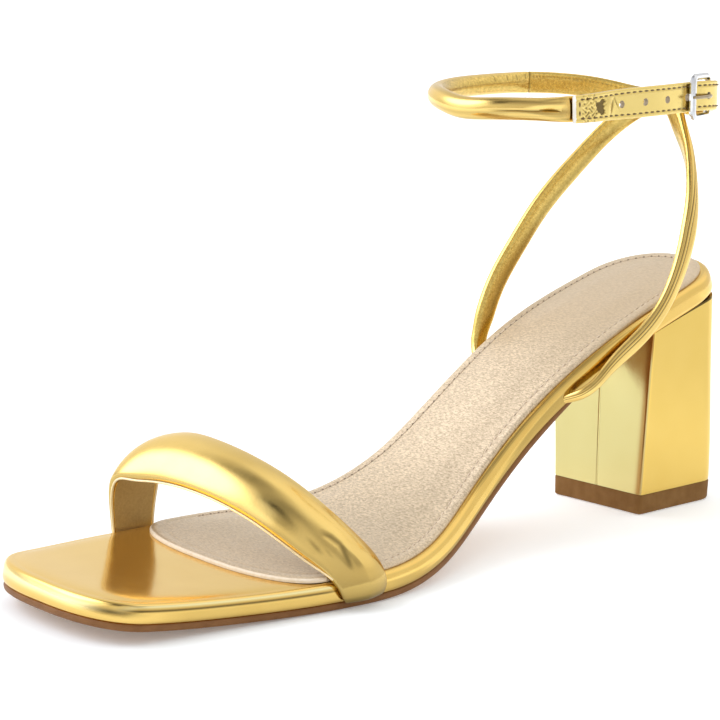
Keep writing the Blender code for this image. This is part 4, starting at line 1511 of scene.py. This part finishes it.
CUT_EDGE_ROUND = 28
CUT_EDGE_SQUARE = 5.0
CUT_EDGE_TALL = SEWN_TALL + 0.25
CUT_EDGE_THICK = STRAP_THICK - 0.1
CUT_EDGE_RINGS = (
    # along from the sewn end, share of the section
    (-0.2, 0.9),
    (0.0, 1.0),
    (0.15, 1.0),
)


def make_sewn_edge():
    """Pale cut edge at the sewn end of the buckle strap."""
    lift = strap_lift(SEWN_END)
    rings = []
    for along, grow in CUT_EDGE_RINGS:
        point, out, up = loop_frame(np.array(SEWN_END + along))
        tall, thick = CUT_EDGE_TALL * grow, CUT_EDGE_THICK * grow
        rise, reach = oval_section(tall, thick, CUT_EDGE_SQUARE, CUT_EDGE_ROUND)
        rings.append(point + np.outer(rise, up) + np.outer(reach + lift, out))
    return loft("strap_cut_edge", rings, [white_edge], "gold_foil")


# Buckle
CORNER_RINGS = 13
FRAME_SHARP = 25.0
HOOK_ROWS = 5
PRONG_RINGS = 90
PRONG_ROUND = 14
# Rings of the prong and shares of its thickness there
PRONG_TAPER = ((0, 60, 84, 89), (1.0, 1.0, 0.85, 0.5))


def frame_section(wide, deep):
    """Bevelled rectangle, as columns of across and out."""
    cut = FRAME_BEVEL * min(wide, deep)
    a, b = wide / 2, deep / 2
    return np.array(((a, -b + cut), (a, b - cut), (a - cut, b), (-a + cut, b),
                     (-a, b - cut), (-a, -b + cut), (-a + cut, -b), (a - cut, -b)))


def make_buckle_frame():
    """Rectangular frame with a wide bevelled front bar and rounded corners."""
    hinge = beside_loop(HINGE_ALONG + HINGE_PAST, HINGE_OUT)
    front = beside_loop(FRONT_BAR_ALONG, FRONT_BAR_OUT)
    upward = loop_frame(np.array((HINGE_ALONG + FRONT_BAR_ALONG) / 2))[2]
    ahead = unit(front - hinge)
    upward = unit(upward - ahead * np.dot(upward, ahead))
    facing = np.cross(ahead, upward)
    if np.dot(facing, loop_frame(np.array(FRONT_BAR_ALONG))[1]) < 0:
        facing = -facing
    middle = (hinge + front) / 2
    long = np.linalg.norm(front - hinge) / 2 - FRAME_CORNER
    tall = FRAME_TALL / 2 - FRAME_CORNER
    rings = []
    for k, (side, level) in enumerate(((1, 1), (-1, 1), (-1, -1), (1, -1))):
        for turn in np.radians(90 * k + np.linspace(0, 90, CORNER_RINGS)):
            across = side * long + FRAME_CORNER * math.cos(turn)
            up = level * tall + FRAME_CORNER * math.sin(turn)
            centre = middle + ahead * across + upward * up
            radial = ahead * math.cos(turn) + upward * math.sin(turn)
            front_share = max(math.cos(turn), 0.0) ** 2
            section = frame_section(FRAME_BAR_WIDE + FRONT_BAR_WIDER * front_share, FRAME_BAR_DEEP)
            rings.append(centre + np.outer(section[:, 0], radial) + np.outer(section[:, 1], facing))
    return loft("buckle_frame_metal", rings, [silver], "buckle_metal", "buckle_frame", FRAME_SHARP, "loop")


def make_buckle_prong():
    """Prong hooked on the hinge bar, up through a hole and onto the front bar."""
    hook = FRAME_WIRE + GAP + PRONG_WIRE
    turns = np.radians(np.linspace(270, 180, HOOK_ROWS))
    route = [(HINGE_ALONG + hook * math.cos(turn), HINGE_OUT + hook * math.sin(turn)) for turn in turns]
    rest = FRONT_BAR_OUT + hook
    route += [*PRONG_RISE, (FRONT_BAR_ALONG, rest), (FRONT_BAR_ALONG - PRONG_TIP, rest - GAP)]
    points = through([beside_loop(along, out) for along, out in route], PRONG_RINGS)
    thick = PRONG_WIRE * np.interp(np.arange(PRONG_RINGS), *PRONG_TAPER)
    rings = tube_rings(points, thick, PRONG_ROUND)
    return loft("buckle_prong_metal", rings, [prong_shaded_metal], "buckle_metal", "buckle_prong")


make_footbed()
make_outsole()
make_sock()
make_sock_stitches()
make_heel_block()
make_heel_tip()
make_toe_strap()
make_ankle_loop()
make_slings()
make_buckle_strap()
make_strap_stitches()
make_sewn_edge()
make_buckle_frame()
make_buckle_prong()


# Studio, with its directions on the floor: towards the camera and to its right
TOWARD = unit(np.array((*CAMERA_BACK[:2], 0.0)))
RIGHT = np.array((-TOWARD[1], TOWARD[0], 0.0))
WHITE = (1.0, 1.0, 1.0)
FLOOR = (0.87, 0.9, 0.905)
FLOOR_PAINTED_SHADE = (0.62, 0.64, 0.645)
FLOOR_REACH = 15.0
FLOOR_DROP = 0.0002
FLOOR_ROUGH = 0.7
FLOOR_GLOSS = 0.1
# The floor glows as painted light, by this much and by other amounts in the areas below
FLOOR_GLOW = 0.15
# Painted shade on the floor: the grey grows along two directions, in metres
PAINTED_SHADE_AREAS = ((RIGHT, 0.13, 0.3), (TOWARD, -0.24, -0.08))
GLOW_AREAS = (
    # direction, from, to, glow there
    (RIGHT, -0.15, -0.4, 0.6),
    (RIGHT, -0.03, 0.04, 0.36),
    (TOWARD, 0.15, 0.34, 0.06),
)


def ramp(owner, place, way, low, high, tone):
    """Socket of a value that grows smoothly to a tone between two places along a direction."""
    along = owner.node_tree.nodes.new("ShaderNodeVectorMath")
    along.operation = "DOT_PRODUCT"
    along.inputs[1].default_value = way
    link(owner, place, along.inputs[0])
    result = remap(owner, along.outputs["Value"], 0.0, tone, (low, high))
    result.node.interpolation_type = "SMOOTHSTEP"
    return result


def combined(owner, kind, operation, sockets, start):
    """Socket of values joined one after the other, from a start value."""
    total = None
    for socket in sockets:
        node = owner.node_tree.nodes.new(kind)
        node.operation = operation
        node.inputs[1].default_value = start
        link(owner, socket, node.inputs[0])
        if total:
            link(owner, total, node.inputs[1])
        total = node.outputs[0]
    return total


def make_floor():
    """Large pale floor that the shoe stands on, greyed in places as painted shade and glowing as painted
    light.
    """
    mesh = bpy.data.meshes.new("studio_floor")
    corners = [(x * FLOOR_REACH, y * FLOOR_REACH, 0) for x, y in ((-1, -1), (1, -1), (1, 1), (-1, 1))]
    mesh.from_pydata(corners, [], [(0, 1, 2, 3)])
    floor = bpy.data.objects.new("studio_floor", mesh)
    bpy.context.scene.collection.objects.link(floor)
    paint, shader = new_material("floor_paint", FLOOR, 0.0, FLOOR_ROUGH)
    shader.inputs["Specular IOR Level"].default_value = FLOOR_GLOSS
    shader.inputs["Emission Color"].default_value = (*WHITE, 1.0)
    place = surface_point(paint)
    painted_shades = [ramp(paint, place, *area, 1.0) for area in PAINTED_SHADE_AREAS]
    share = combined(paint, "ShaderNodeMath", "MULTIPLY", painted_shades, 1.0)
    link(paint, blend_colours(paint, share, FLOOR, FLOOR_PAINTED_SHADE), shader.inputs["Base Color"])
    glows = [ramp(paint, place, *area, tone - FLOOR_GLOW) for *area, tone in GLOW_AREAS]
    glow = combined(paint, "ShaderNodeMath", "ADD", glows, FLOOR_GLOW)
    link(paint, glow, shader.inputs["Emission Strength"])
    mesh.materials.append(paint)
    floor.location.z = -FLOOR_DROP


SKY = 0.95
SKY_AREAS = (
    # azimuth from the camera's side, elevation, outer angle, inner angle, strength, tint
    (-88.0, 36.0, 40.0, 31.0, 0.6, (0.92, 1.0, 1.2)),
    (-97.0, 42.0, 28.0, 13.0, 2.2, (1.0, 1.0, 1.1)),
    (-90.0, 82.0, 28.0, 14.0, -0.4, WHITE),
    (-38.0, 56.0, 19.0, 9.0, -0.5, WHITE),
    (-10.0, 72.0, 21.0, 8.0, -0.26, WHITE),
    (55.0, 58.0, 22.0, 8.0, -0.35, WHITE),
    (-145.0, 68.0, 20.0, 8.0, -0.22, WHITE),
    (125.0, 52.0, 38.0, 18.0, 0.25, WHITE),
    (165.0, 32.0, 30.0, 14.0, -0.12, WHITE),
    (20.0, 20.0, 46.0, 24.0, -0.14, WHITE),
    (-150.0, 25.0, 36.0, 15.0, 0.15, WHITE),
)


def make_world():
    """White studio surround with a large soft box on the left and darker places over the camera."""
    world = bpy.data.worlds.new("studio")
    world.use_nodes = True
    bpy.context.scene.world = world
    place = add_node(world, "ShaderNodeTexCoord").outputs["Generated"]
    lights = []
    for azimuth, elevation, outer, inner, strength, tint in SKY_AREAS:
        a, e = np.radians((azimuth, elevation))
        centre = np.cos(e) * (np.cos(a) * TOWARD + np.sin(a) * RIGHT) + np.sin(e) * UP
        tinted = world.node_tree.nodes.new("ShaderNodeVectorMath")
        tinted.operation = "SCALE"
        tinted.inputs[0].default_value = tint
        limits = np.cos(np.radians((outer, inner)))
        link(world, ramp(world, place, centre, *limits, strength), tinted.inputs["Scale"])
        lights.append(tinted.outputs["Vector"])
    total = combined(world, "ShaderNodeVectorMath", "ADD", lights, (SKY, SKY, SKY))
    link(world, total, world.node_tree.nodes["Background"].inputs["Color"])


SOFTBOX_AT = Vector((0.1, -0.1, 1.5))
SOFTBOX_SIZE = 1.6
SOFTBOX_POWER = 3.5


def aimed(name, data, place, way):
    """Object of a lamp or a camera at a place in metres, looking along a direction."""
    holder = bpy.data.objects.new(name, data)
    holder.location = place
    holder.rotation_mode = "QUATERNION"
    holder.rotation_quaternion = way.to_track_quat("-Z", "Y")
    bpy.context.scene.collection.objects.link(holder)
    return holder


def make_softbox():
    """Square soft light over the shoe, aimed at its middle."""
    lamp = bpy.data.lights.new("top_softbox", "AREA")
    lamp.size = SOFTBOX_SIZE
    lamp.energy = SOFTBOX_POWER
    holder = aimed("top_softbox", lamp, SOFTBOX_AT, -SOFTBOX_AT)
    holder.visible_glossy = False


def make_camera():
    """Camera at the photograph's angle."""
    lens = bpy.data.cameras.new("photo_camera")
    lens.lens = CAMERA_LENS
    lens.sensor_width = CAMERA_SENSOR
    lens.clip_start, lens.clip_end = CAMERA_CLIP
    place = Vector(np.array(CAMERA_AT) + SHIFT) * MM
    bpy.context.scene.camera = aimed("photo_camera", lens, place, -Vector(CAMERA_BACK))


make_floor()
make_world()
make_softbox()
make_camera()
bpy.context.scene.view_settings.view_transform = "Standard"
